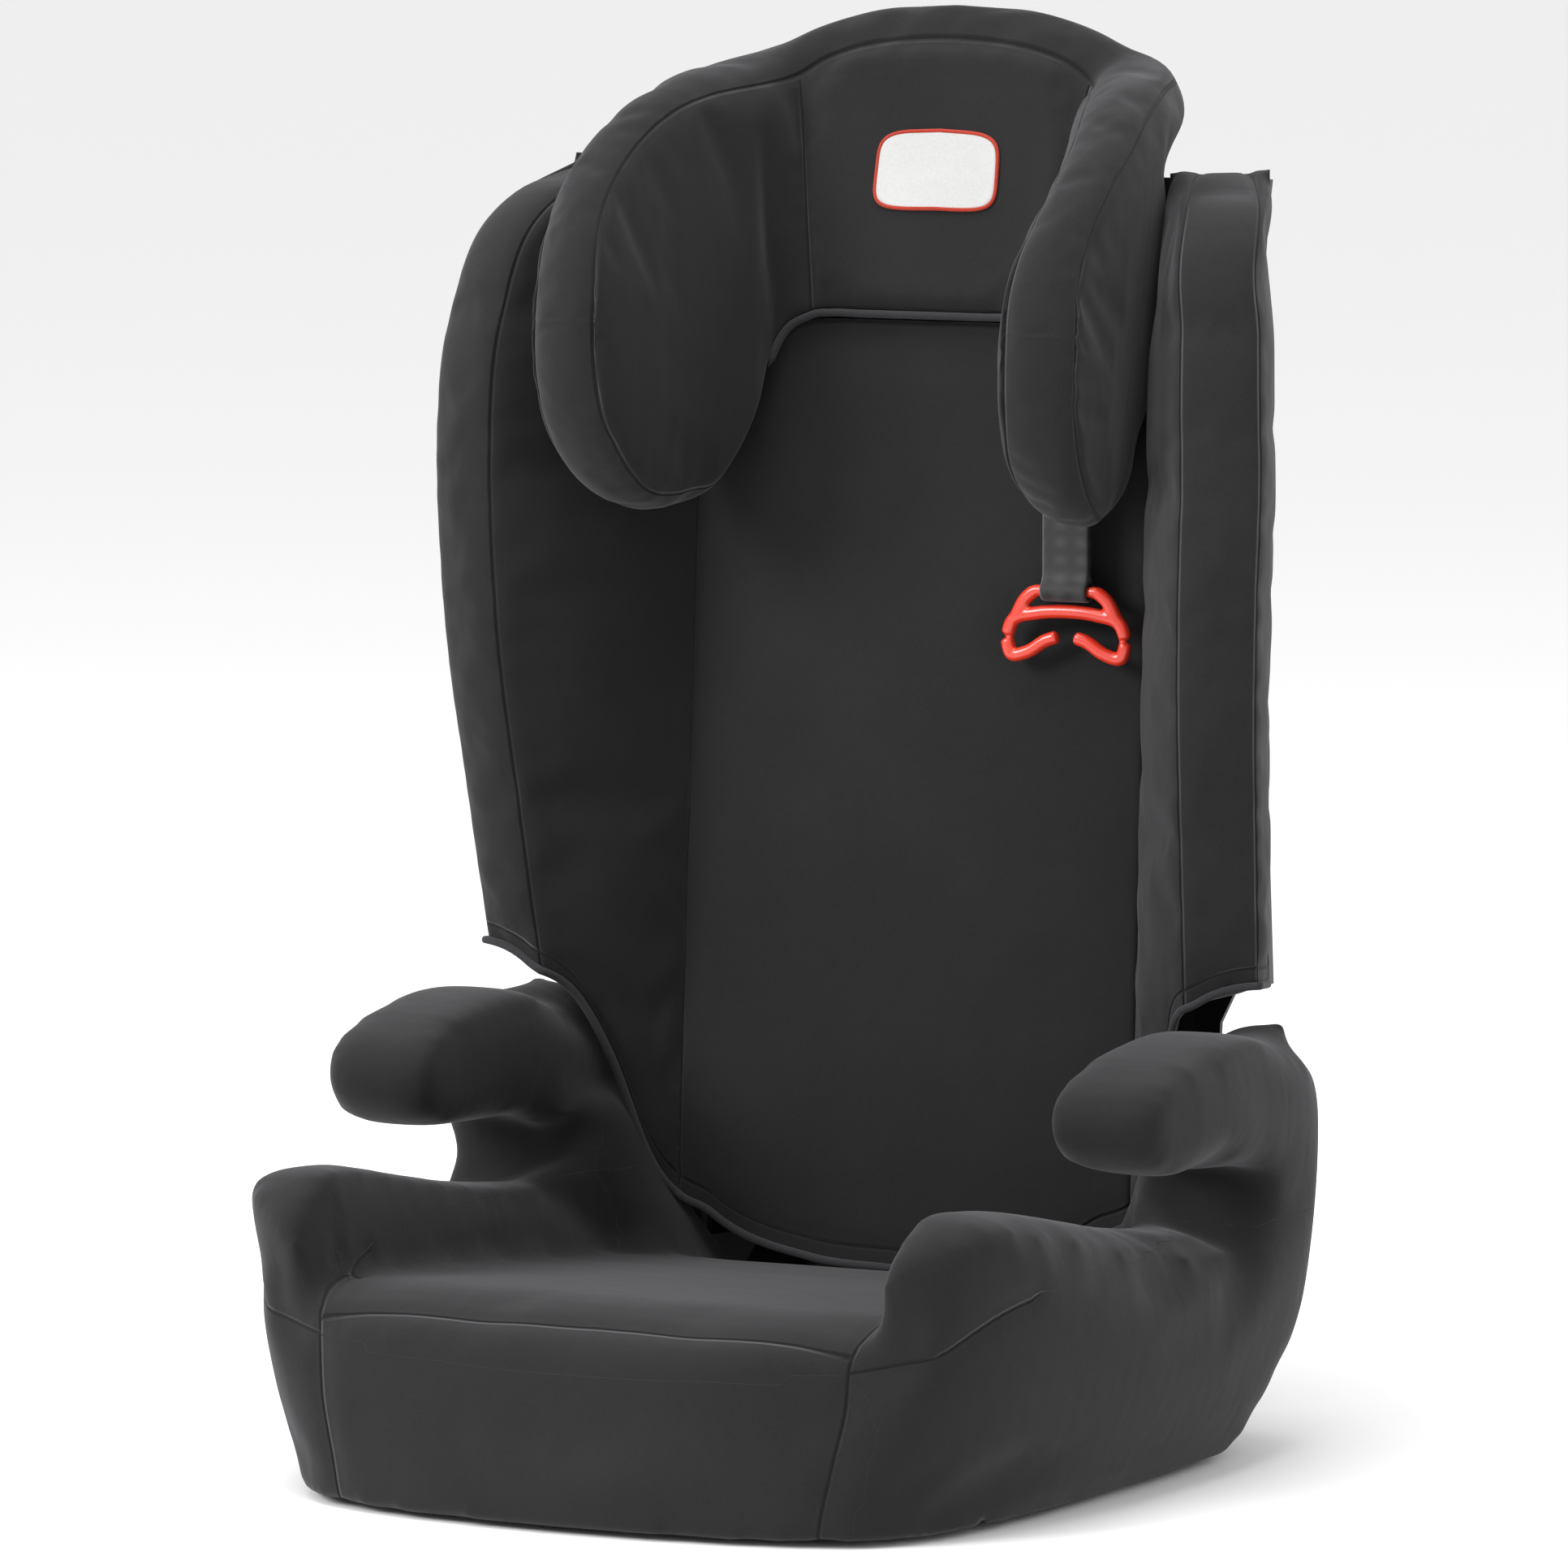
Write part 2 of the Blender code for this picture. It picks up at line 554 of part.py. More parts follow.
def make_back_shell():
    rings = [full_ring(shell_half(height, 0.0), height) for height in BACK_LEVELS]
    shell = loft('back_shell', rings, SHELL_PLASTIC, LEAN, closed=False)
    shell = solidify(shell, BACK_WALL, offset=shell_side(shell))
    lower = mirrored([(0.0, 0.012), (0.112, 0.012), (0.138, 0.040), (0.146, 0.100), (0.148, 0.165),
                      (0.160, 0.188), (0.260, 0.192), (0.260, 0.640), (0.0, 0.640)])
    combine(shell, 'INTERSECT', prism('shell_front', lower, -0.20, 0.20, FRONT_PLANE, frame=LEAN))
    for x, height in RACK_SCREWS.values():
        combine(shell, 'DIFFERENCE', screw_hole(f'shell_hole_{height}', x, height, 0.0, 0.02))
    for x in HOOK_X:
        combine(shell, 'UNION', hinge_hook(f'hook_{x}', x))
    for side in (-1, 1):
        for height in (0.245, 0.560):
            block = box(f'rod_block_{side}_{height}', (side * ROD_X - 0.009, -0.0075, height),
                        (side * ROD_X + 0.009, BACK_REAR - 0.001, height + 0.010), frame=LEAN)
            combine(shell, 'UNION', block)
    for x in (-0.118, 0.118):
        rib = box(f'long_rib_{x}', (x - 0.0015, -0.0138, 0.045), (x + 0.0015, BACK_REAR - 0.001, 0.490),
                  frame=LEAN)
        combine(shell, 'UNION', rib)
    for height in (0.060, 0.120, 0.180):
        rib = box(f'cross_rib_{height}', (-0.118, -0.0138, height),
                  (0.118, BACK_REAR - 0.001, height + 0.003), frame=LEAN)
        combine(shell, 'UNION', rib)
    for side in (-1, 1):
        bore = cylinder(f'rod_bore_{side}', (side * ROD_X, ROD_Y, ROD_LOW - GAP),
                        (side * ROD_X, ROD_Y, ROD_HIGH + GAP), ROD_RADIUS + GAP, frame=LEAN)
        combine(shell, 'DIFFERENCE', bore)
    hook_bore = cylinder('hook_bore', (-0.11, 0.0, 0.0), (0.11, 0.0, 0.0), BAR_RADIUS + GAP, frame=LEAN)
    combine(shell, 'DIFFERENCE', hook_bore)


def shell_side(shell):
    """Which way Solidify must grow for the wall to lie inside the shell's outer surface."""
    middle = min(shell.data.polygons, key=lambda face: abs(face.center.x) - face.center.y)
    return -1.0 if middle.normal.y > 0 else 1.0


def screw_hole(name, x, height, start, end):
    """Cutter for a screw that runs front to rear."""
    return cylinder(name, (x, start, height), (x, end, height), SCREW_RADIUS + GAP, frame=LEAN, sides=12)


def screw(name, x, height, ends, head_ends, head_radius):
    """A shank with a round head, front to rear."""
    shank = cylinder(name, (x, ends[0], height), (x, ends[1], height), SCREW_RADIUS, STEEL, LEAN, 12)
    head = cylinder(name + '_head', (x, head_ends[0], height), (x, head_ends[1], height), head_radius,
                    frame=LEAN, sides=12)
    combine(shank, 'UNION', head)


def hinge_hook(name, x):
    """Eye at the foot of the shell that turns on the hinge bar; its bore is cut with the others."""
    arc = [(HOOK_OUTER_RADIUS * math.cos(a), HOOK_OUTER_RADIUS * math.sin(a))
           for a in np.linspace(math.radians(150), math.radians(350), 13)]
    outline = [(-HOOK_OUTER_RADIUS, 0.030)] + arc + [(BACK_REAR - 0.001, 0.010), (BACK_REAR - 0.001, 0.045)]
    return prism(name, outline, x - HOOK_WIDTH / 2, x + HOOK_WIDTH / 2, SIDE_PLANE, frame=LEAN)


def make_back_cover():
    rings = [full_ring(cover_half(height, 0.0), height) for height in BACK_LEVELS]
    cover = loft('back_cover', rings, FABRIC, LEAN, closed=False)
    front = min(cover.data.polygons, key=lambda face: abs(face.center.x) + face.center.y)
    solidify(cover, COVER_THICKNESS, offset=-1.0 if front.normal.y < 0 else 1.0)
    front_view = prism('cover_front', hem_outline(0.0), -0.30, 0.10, FRONT_PLANE, frame=LEAN)
    combine(cover, 'INTERSECT', front_view)
    behind_head = box('behind_head', (-PANEL_HALF_WIDTH - 0.006, -0.060, HEAD_BOTTOM - 0.012),
                      (PANEL_HALF_WIDTH + 0.006, 0.0, 0.70), frame=LEAN)
    combine(cover, 'DIFFERENCE', behind_head)


def make_back_foams():
    core = prism('back_foam', hem_outline(-0.004), BACK_FRONT + COVER_THICKNESS + GAP, CHANNEL_FRONT,
                 FRONT_PLANE, FOAM, LEAN)
    trim = box('back_foam_trim', (-0.119, -0.1, 0.0), (0.119, 0.1, HEAD_BOTTOM - 0.014), frame=LEAN)
    combine(core, 'INTERSECT', trim)
    for side, name in ((-1, 'left_wing_foam'), (1, 'right_wing_foam')):
        rings = []
        for height in BACK_LEVELS[2:]:
            outer = shifted(cover_half(height, 0.0), -0.0070)[2:]
            inner = [(x - 0.0030, y - 0.003) for x, y in shell_half(height, BACK_WALL)[2:5]][::-1]
            start = (PANEL_HALF_WIDTH + 0.0085, BACK_FRONT - 0.0010)
            ring = [start] + outer + inner + [(PANEL_HALF_WIDTH + 0.0085, -0.008)]
            rings.append([(side * x, y, height - 0.003) for x, y in ring])
        foam = loft(name, rings, FOAM, LEAN)
        front_view = prism(name + '_front', hem_outline(-0.004), -0.30, 0.10, FRONT_PLANE, frame=LEAN)
        combine(foam, 'INTERSECT', front_view)


def make_back_piping():
    points = []
    for x, z in shifted(hem_line()[:-5], 0.0024):
        reach = max(0.0, (x - PANEL_HALF_WIDTH) / (0.816 * back_half_width(z) - PANEL_HALF_WIDTH))
        y = BACK_FRONT + (wing_front(z) - BACK_FRONT) * min(1.0, reach)
        points.append((max(0.0, x), y, z))
    points = [(-x, y, z) for x, y, z in reversed(points[1:])] + points
    tube('back_piping', points, 0.0019, PIPING, LEAN, resolution=1)


def make_guides():
    for side, name in ((-1, 'guide_rod_left'), (1, 'guide_rod_right')):
        cylinder(name, (side * ROD_X, ROD_Y, ROD_LOW), (side * ROD_X, ROD_Y, ROD_HIGH), ROD_RADIUS,
                 STEEL, LEAN, 14)
    rack = box('height_rack', (-0.014, RACK_FRONT, 0.438), (0.014, BACK_REAR - BACK_WALL - GAP, 0.574),
               ACETAL, LEAN)
    for step in range(1, 7):
        height = PIN_Z + step * RACK_PITCH - 0.004
        notch = cylinder(f'notch_{step}', (0, 0.0, height), (0, 0.02, height), PIN_RADIUS + 0.0004,
                         frame=LEAN, sides=14)
        combine(rack, 'DIFFERENCE', notch)
    for name, (x, height) in RACK_SCREWS.items():
        combine(rack, 'DIFFERENCE', screw_hole(f'rack_hole_{height}', x, height, 0.0, 0.02))
        screw(name, x, height, (RACK_FRONT - 0.0010, BACK_REAR - 0.0002),
              (RACK_FRONT - 0.0015, RACK_FRONT - GAP), 0.0032)




# ---------------------------------------------------------------- headrest
def head_side_outline(grow=0.0):
    """Side view of a headrest wing, rounded at the front and running back along its top."""
    line = smooth_line([(-0.030, 0.6225), (-0.070, 0.6150), (-0.110, 0.6000), (-0.150, 0.5740),
                        (-0.177, 0.5430), (-0.187, 0.5020), (-0.183, 0.4660), (-0.164, 0.4350),
                        (-0.130, 0.4150), (-0.098, 0.4090), (-0.068, 0.4180), (-0.0515, 0.4480)], 3)
    line = line + [(-0.0475, HEAD_BOTTOM - 0.004), (-0.0300, HEAD_BOTTOM)]
    if grow == 0.0:
        return line
    return [grown_point(point, line, grow) for point in line]


def head_core_outline(grow=0.0):
    """Side view of the headrest's plastic core."""
    line = [(-0.0070, HEAD_BOTTOM + 0.004), (-0.0070, 0.640), (-0.0240, 0.628), (-0.0600, 0.6030),
            (-0.1000, 0.5880), (-0.1380, 0.5620), (-0.1600, 0.5350), (-0.1680, 0.5020),
            (-0.1640, 0.4700), (-0.1480, 0.4460), (-0.1200, 0.4300), (-0.0900, 0.4280),
            (-0.0640, 0.4500), (-0.0560, HEAD_BOTTOM + 0.004)]
    if grow == 0.0:
        return line
    return [grown_point(point, line, grow) for point in line]


def core_sheet(name, thickness, look=None):
    half = CORE_PATH
    rings = [full_ring(half, height) for height in (0.400, 0.670)]
    sheet = loft(name, rings, look, LEAN, closed=False)
    return solidify(sheet, thickness, offset=0.0)


def slanted_under(name, grow):
    """Behind UNDER_FRONT the wings' lower edge rises towards the middle, to leave room for the belt
    guide's strap: this block is what lies under that edge."""
    outline = mirrored([(0.0, 0.30), (0.122, 0.30), (0.122, 0.409 + grow),
                        (HEAD_PANEL_HALF_WIDTH, HEAD_BOTTOM + grow), (0.0, HEAD_BOTTOM + grow)])
    return prism(name, outline, UNDER_FRONT - grow, 0.02, FRONT_PLANE, frame=LEAN)


def make_head_shell():
    shell = core_sheet('head_shell', SHELL_WALL, SHELL_PLASTIC)
    outline = prism('head_core_side', head_core_outline(), -0.20, 0.20, SIDE_PLANE, frame=LEAN)
    combine(shell, 'INTERSECT', outline)
    combine(shell, 'DIFFERENCE', slanted_under('core_under', 0.012))
    for x in CARRIER_SCREW_X:
        combine(shell, 'DIFFERENCE', screw_hole(f'head_hole_{x}', x, CARRIER_SCREW_Z, -0.02, 0.0))


def core_space(name):
    space = core_sheet(name, SHELL_WALL + 2 * GAP)
    outline = prism(name + '_side', head_core_outline(GAP), -0.21, 0.21, SIDE_PLANE, frame=LEAN)
    return combine(space, 'INTERSECT', outline)


def make_head_pads():
    for side, name in ((-1, 'left_head_wing_pad'), (1, 'right_head_wing_pad')):
        plan = [(side * x, y) for x, y in WING_PLAN]
        pad = prism(name, plan, 0.380, 0.680, look=FOAM, frame=LEAN)
        side_view = prism(name + '_side', head_side_outline(), -0.25, 0.25, SIDE_PLANE, frame=LEAN)
        combine(pad, 'INTERSECT', side_view)
        combine(pad, 'DIFFERENCE', slanted_under(name + '_under', 0.0), core_space(name + '_core'))
    front = [(HEAD_SLAB_REAR, HEAD_BOTTOM - 0.010), (HEAD_SLAB_REAR, 0.622), (0.0, 0.634), (0.003, 0.648),
             (-0.006, 0.660), (-0.018, 0.6615), (-0.026, 0.652),
             (-0.0290, 0.622), (-0.0505, HEAD_BOTTOM), (-0.0524, HEAD_BOTTOM - 0.010)]
    arch = smooth_line([(0.0, HEAD_TOP), (0.060, 0.6535), (0.105, 0.638), (0.1205, 0.620)], 3)
    face = mirrored(arch[:-1] + [(0.1205, 0.620), (0.1205, HEAD_BOTTOM), (0.0, HEAD_BOTTOM)])
    pad = prism('head_center_pad', face, -0.070, 0.020, FRONT_PLANE, FOAM, LEAN)
    combine(pad, 'INTERSECT', prism('head_center_side', front, -0.20, 0.20, SIDE_PLANE, frame=LEAN))
    for side in (-1, 1):
        low, high = sorted((side * (HEAD_PANEL_HALF_WIDTH - GAP), side * 0.20))
        ahead = box(f'wing_room_{side}', (low, -0.20, 0.30), (high, -0.0297, 0.70), frame=LEAN)
        combine(pad, 'DIFFERENCE', ahead)
    combine(pad, 'DIFFERENCE', core_space('center_core'))


def head_panel_front(height):
    return -0.0515 + HEAD_PANEL_LEAN * (height - HEAD_BOTTOM)


def make_head_cover():
    """Textile cover over the front and the sides of the headrest."""
    rings = []
    for height in (0.400, HEAD_BOTTOM - 0.006, 0.565, 0.625):
        middle = head_panel_front(max(height, HEAD_BOTTOM - 0.006)) - GAP
        half = [(0.0, middle), (HEAD_PANEL_HALF_WIDTH - 0.001, middle),
                (HEAD_PANEL_HALF_WIDTH - 0.0003, -0.0540), (0.1075, -0.1770), (0.1155, -0.1890),
                (0.1365, -0.1890), (0.1460, -0.1755), (0.1475, -0.1400), (0.1410, -0.0945),
                (0.1222, -0.0515), (0.1222, -0.0310)]
        rings.append(full_ring(half, height))
    cover = loft('head_cover', rings, FABRIC, LEAN, closed=False)
    middle = min(cover.data.polygons, key=lambda face: abs(face.center.x) + face.center.z)
    solidify(cover, 0.0012, offset=1.0 if middle.normal.y < 0 else -1.0)
    side = prism('cover_side', cover_side_outline(), -0.25, 0.25, SIDE_PLANE, frame=LEAN)
    combine(cover, 'INTERSECT', side)
    combine(cover, 'DIFFERENCE', slanted_under('cover_under', 0.0))


def cover_side_outline():
    wing = [(y * 1.012 - 0.0005, z) for y, z in head_side_outline()[:-2]]
    return wing + [(-0.055, HEAD_BOTTOM - 0.004), (-0.0297, HEAD_BOTTOM)]


def make_head_piping():
    y = head_panel_front(HEAD_BOTTOM) - 0.0006
    points = [(x, y, HEAD_BOTTOM - 0.0024) for x in (-0.070, -0.035, 0.0, 0.035, 0.070)]
    tube('head_piping', points, 0.0019, PIPING, LEAN, resolution=1)


def make_label():
    """Plain woven patch with rounded corners."""
    outline = []
    corners = ((0.022, 0.012, 0), (-0.022, 0.012, 90), (-0.022, -0.012, 180), (0.022, -0.012, 270))
    for corner_x, corner_y, start in corners:
        for angle in np.radians(np.linspace(start, start + 90, 5)):
            outline.append((corner_x + 0.007 * math.cos(angle), corner_y + 0.007 * math.sin(angle)))
    rise = Matrix.Rotation(-math.atan(HEAD_PANEL_LEAN), 4, 'X')
    middle = Matrix.Translation((0.0, head_panel_front(LABEL_Z) - 0.0027, LABEL_Z))
    prism('label_patch', outline, -0.0004, 0.0004, FRONT_PLANE, LABEL, LEAN @ middle @ rise)


def make_carrier():
    """Slider behind the head shell: a plate with a sleeve on each rod and a boss for the pin."""
    carrier = box('head_carrier', (-0.098, CARRIER_FRONT, CARRIER_LOW), (0.098, CARRIER_REAR, CARRIER_HIGH),
                  ACETAL, LEAN)
    neck = box('carrier_neck', (-0.055, CARRIER_FRONT, CARRIER_HIGH - 0.010), (0.055, CARRIER_REAR, 0.600),
               frame=LEAN)
    combine(carrier, 'UNION', neck)
    for side in (-1, 1):
        sleeve = cylinder(f'sleeve_{side}', (side * ROD_X, ROD_Y, CARRIER_LOW),
                          (side * ROD_X, ROD_Y, CARRIER_HIGH), SLEEVE_RADIUS, frame=LEAN, sides=16)
        bore = cylinder(f'sleeve_bore_{side}', (side * ROD_X, ROD_Y, CARRIER_LOW - 0.01),
                        (side * ROD_X, ROD_Y, CARRIER_HIGH + 0.01), ROD_RADIUS + GAP, frame=LEAN, sides=14)
        combine(carrier, 'UNION', sleeve)
        combine(carrier, 'DIFFERENCE', bore)
    boss = cylinder('pin_boss', (0, -0.0060, PIN_Z), (0, 0.0015, PIN_Z), 0.0075, frame=LEAN, sides=16)
    hole = cylinder('pin_bore', (0, -0.02, PIN_Z), (0, 0.02, PIN_Z), PIN_RADIUS + GAP, frame=LEAN, sides=16)
    combine(carrier, 'UNION', boss)
    combine(carrier, 'DIFFERENCE', hole)
    for side in (-1, 1):
        guide = box(f'lever_guide_{side}', (side * 0.0115 - 0.002, -0.0060, 0.500),
                    (side * 0.0115 + 0.002, 0.0010, SPRING_SEAT + 0.001), frame=LEAN)
        combine(carrier, 'UNION', guide)
    seat = box('spring_seat', (-0.0125, -0.0060, SPRING_SEAT), (0.0125, 0.0014, SPRING_SEAT + 0.003),
               frame=LEAN)
    slot = box('lever_slot', (-0.0026, -0.0024, SPRING_SEAT - 0.005),
               (0.0026, 0.0050, SPRING_SEAT + 0.008), frame=LEAN)
    combine(carrier, 'UNION', seat)
    combine(carrier, 'DIFFERENCE', slot)
    for x, name in zip(CARRIER_SCREW_X, ('carrier_screw_left', 'carrier_screw_right')):
        combine(carrier, 'DIFFERENCE', screw_hole(f'carrier_hole_{x}', x, CARRIER_SCREW_Z, -0.02, 0.02))
        screw(name, x, CARRIER_SCREW_Z, (-0.0118, -0.0050), (-0.0052, -0.0030), 0.0036)


def make_release():
    """Pull lever up the middle of the headrest, the pin that it draws forward, and their spring."""
    lever = box('release_lever', (-0.0080, -0.0022, PIN_Z + 0.0085), (0.0080, 0.0006, LEVER_SHOULDER),
                ACETAL, LEAN)
    stem = box('lever_stem', (-0.0020, STEM_Y - 0.0010, 0.520), (0.0020, STEM_Y + 0.0010, 0.590),
               frame=LEAN)
    grip = box('lever_grip', (-0.030, -0.0050, 0.5830), (0.030, 0.0045, 0.6110), frame=LEAN)
    finger = box('lever_finger', (-0.023, -0.02, 0.5890), (0.023, 0.02, 0.6060), frame=LEAN)
    combine(lever, 'UNION', stem, grip)
    combine(lever, 'DIFFERENCE', finger)
    cylinder('lock_pin', (0, -0.0080, PIN_Z), (0, RACK_FRONT - GAP, PIN_Z), PIN_RADIUS, STEEL, LEAN, 16)


def make_lever_spring():
    """Compression spring round the lever's stem, from the lever's shoulder to the seat above it."""
    steps = 9
    low = LEVER_SHOULDER + GAP + SPRING_WIRE
    high = SPRING_SEAT - GAP - SPRING_WIRE
    points = []
    for step in range(SPRING_TURNS * steps + 1):
        angle = 2 * math.pi * step / steps
        rise = low + (high - low) * step / (SPRING_TURNS * steps)
        points.append((SPRING_RADIUS * math.cos(angle), STEM_Y + SPRING_RADIUS * math.sin(angle), rise))
    tube('lever_spring', points, SPRING_WIRE, STEEL, LEAN, resolution=1)


# ---------------------------------------------------------------- belt guide
def make_strap():
    """Webbing from the wing down to its sewn loop on the hook's crossbar."""
    half = STRAP_THICKNESS / 2
    outline = [(STRAP_TOP[0] - half, STRAP_TOP[1]), (STRAP_TOP[0] + half, STRAP_TOP[1]),
               (HOOK_BAR[0] + half, HOOK_BAR[1] + 0.0050), (HOOK_BAR[0] - half, HOOK_BAR[1] + 0.0050)]
    low, high = STRAP_X - STRAP_HALF_WIDTH, STRAP_X + STRAP_HALF_WIDTH
    strap = prism('belt_strap', outline, low, high, SIDE_PLANE, WEBBING)
    bore = HOOK_RADIUS + 0.0007
    ring = cylinder('strap_loop', (low, *HOOK_BAR), (high, *HOOK_BAR), bore + STRAP_THICKNESS, sides=18)
    hole = cylinder('strap_loop_hole', (0.05, *HOOK_BAR), (0.12, *HOOK_BAR), bore, sides=18)
    combine(strap, 'UNION', ring)
    combine(strap, 'DIFFERENCE', hole)


def make_hook():
    """Crossbar with shoulders, an arch, and two curled arms that hold the shoulder belt."""
    y, z = HOOK_BAR
    hook = cylinder('belt_hook', (STRAP_X - 0.018, y, z), (STRAP_X + 0.018, y, z), HOOK_RADIUS, ORANGE,
                    sides=14)
    arch = smooth_line([(-0.0315, -0.0240), (-0.0290, -0.0155), (-0.0160, -0.0118), (0.0, -0.0105),
                        (0.0160, -0.0118), (0.0290, -0.0155), (0.0315, -0.0240)], 4)
    shoulders = [smooth_line([(side * 0.0165, 0.0), (side * 0.0205, -0.0045), (side * 0.0265, -0.0135)], 3)
                 for side in (-1, 1)]
    arms = [smooth_line([(side * 0.0315, -0.0240), (side * 0.0285, -0.0318), (side * 0.0205, -0.0300),
                         (side * 0.0110, -0.0245), (side * 0.0035, -0.0225)], 4) for side in (-1, 1)]
    for index, line in enumerate([arch] + shoulders + arms):
        points = [(STRAP_X + x, y, z + v) for x, v in line]
        combine(hook, 'UNION', tube(f'hook_line_{index}', points, HOOK_RADIUS, None, resolution=2))


make_base_shell()
make_base_cover()
make_base_small_parts()
make_back_shell()
make_back_cover()
make_back_foams()
make_back_piping()
make_guides()
make_head_shell()
make_head_pads()
make_head_cover()
make_head_piping()
make_label()
make_carrier()
make_release()
make_lever_spring()
make_strap()
make_hook()
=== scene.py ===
"""High-back child booster seat: padded covers, piping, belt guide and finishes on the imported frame.

Metres, +Z up, the seat faces -Y.  The backrest and headrest are worked out upright in their own
frame, whose origin is the hinge axis, and leaned() turns them back into place.
"""
import math

import bmesh
import bpy
import numpy as np
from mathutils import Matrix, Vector
from mathutils.bvhtree import BVHTree


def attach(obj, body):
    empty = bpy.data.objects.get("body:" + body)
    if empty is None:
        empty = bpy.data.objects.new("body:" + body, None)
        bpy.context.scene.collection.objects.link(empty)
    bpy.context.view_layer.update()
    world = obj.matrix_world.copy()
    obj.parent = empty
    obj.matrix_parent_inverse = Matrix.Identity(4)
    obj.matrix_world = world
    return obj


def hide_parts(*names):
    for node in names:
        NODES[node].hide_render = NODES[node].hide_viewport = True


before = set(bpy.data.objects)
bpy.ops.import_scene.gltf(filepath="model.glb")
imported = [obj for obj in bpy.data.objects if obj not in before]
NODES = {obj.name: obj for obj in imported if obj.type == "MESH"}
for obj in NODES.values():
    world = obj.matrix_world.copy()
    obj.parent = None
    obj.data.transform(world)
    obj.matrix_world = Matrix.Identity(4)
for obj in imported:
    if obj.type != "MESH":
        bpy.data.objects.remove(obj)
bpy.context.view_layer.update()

HINGE_Y = 0.178
HINGE_Z = 0.034
LEAN = math.radians(3.7)
FLOOR_RIM = 0.003                # lower edge of the base cover
SEAM_WIDTH = 0.0016              # half width of a sewn seam's crease
PIPING_RADIUS = 0.0019
FAR = 0.5                        # seam distance where there is no seam
HELD_SEAM = 0.0015               # cloth this near to a seam is sewn down
HEM_RADIUS = 0.002
HEM_STITCH = 0.011               # from the hem's edge up to its row of stitches
COVER_CELL = 0.0055
COVER_LIFT = 0.0012              # gives back what smoothing takes from the base cover
COVER_WALL = 0.003
HOOK_CELL = 0.0007


# ---------------------------------------------------------------- numbers and curves
def leaned(points):
    """The backrest's upright frame turned back by the lean about the hinge bar."""
    x, y, z = np.moveaxis(np.asarray(points, float), -1, 0)
    c, s = math.cos(LEAN), math.sin(LEAN)
    return np.stack([x, HINGE_Y + y * c + z * s, HINGE_Z - y * s + z * c], axis=-1)


def read(rows, at):
    """Values at a parameter, on a cubic through rows of (parameter, values) with centred slopes."""
    rows = np.asarray(rows, float)
    knots, values = rows[:, 0], rows[:, 1:]
    slopes = np.gradient(values, knots, axis=0)
    at = np.clip(np.asarray(at, float), knots[0], knots[-1])
    low = np.clip(np.searchsorted(knots, at, side="right") - 1, 0, len(knots) - 2)
    span = (knots[low + 1] - knots[low])[..., None]
    t = (at - knots[low])[..., None] / span
    found = ((2 * t**3 - 3 * t**2 + 1) * values[low] + (t**3 - 2 * t**2 + t) * span * slopes[low]
             + (3 * t**2 - 2 * t**3) * values[low + 1] + (t**3 - t**2) * span * slopes[low + 1])
    return found[..., 0] if found.shape[-1] == 1 else found


def arch(t, power=1.0):
    """0 at both ends of a span and 1 in its middle: a sine raised to a power."""
    return np.sin(np.pi * np.clip(t, 0, 1)) ** power


def rounded(distance, radius, power=2.5):
    """0 on an edge and 1 a radius away from it, on a quarter of a superellipse."""
    away = 1 - np.clip(distance / radius, 0, 1)
    return (1 - away**power) ** (1 / power)


def eased(count, power=1.6):
    """0 to 1 in count steps that crowd towards both ends."""
    t = np.linspace(-1, 1, count)
    return 0.5 + 0.5 * np.sign(t) * (1 - (1 - np.abs(t)) ** power)


def travelled(line):
    """Length run along a line of points, at each of them."""
    return np.concatenate([[0], np.cumsum(np.linalg.norm(np.diff(line, axis=0), axis=1))])


# ---------------------------------------------------------------- meshes
def mesh_object(name, mesh):
    made = bpy.data.objects.new(name, mesh)
    bpy.context.scene.collection.objects.link(made)
    return made


def set_attribute(mesh, name, values):
    """A point attribute of one number, or of three."""
    kind = "FLOAT_VECTOR" if values.ndim == 2 else "FLOAT"
    found = mesh.attributes.get(name) or mesh.attributes.new(name, kind, "POINT")
    found.data.foreach_set("vector" if values.ndim == 2 else "value", values.astype(np.float32).ravel())


def get_attribute(mesh, name, width):
    values = np.empty(len(mesh.vertices) * width, np.float32)
    mesh.attributes[name].data.foreach_get("vector" if width == 3 else "value", values)
    return values.reshape(-1, width) if width == 3 else values


def places(mesh):
    found = np.empty(len(mesh.vertices) * 3)
    mesh.vertices.foreach_get("co", found)
    return found.reshape(-1, 3)


def put(mesh, points):
    mesh.vertices.foreach_set("co", np.ascontiguousarray(points, float).ravel())
    mesh.update()


def directions(mesh):
    found = np.empty(len(mesh.vertices) * 3, np.float32)
    mesh.vertex_normals.foreach_get("vector", found)
    return found.reshape(-1, 3)


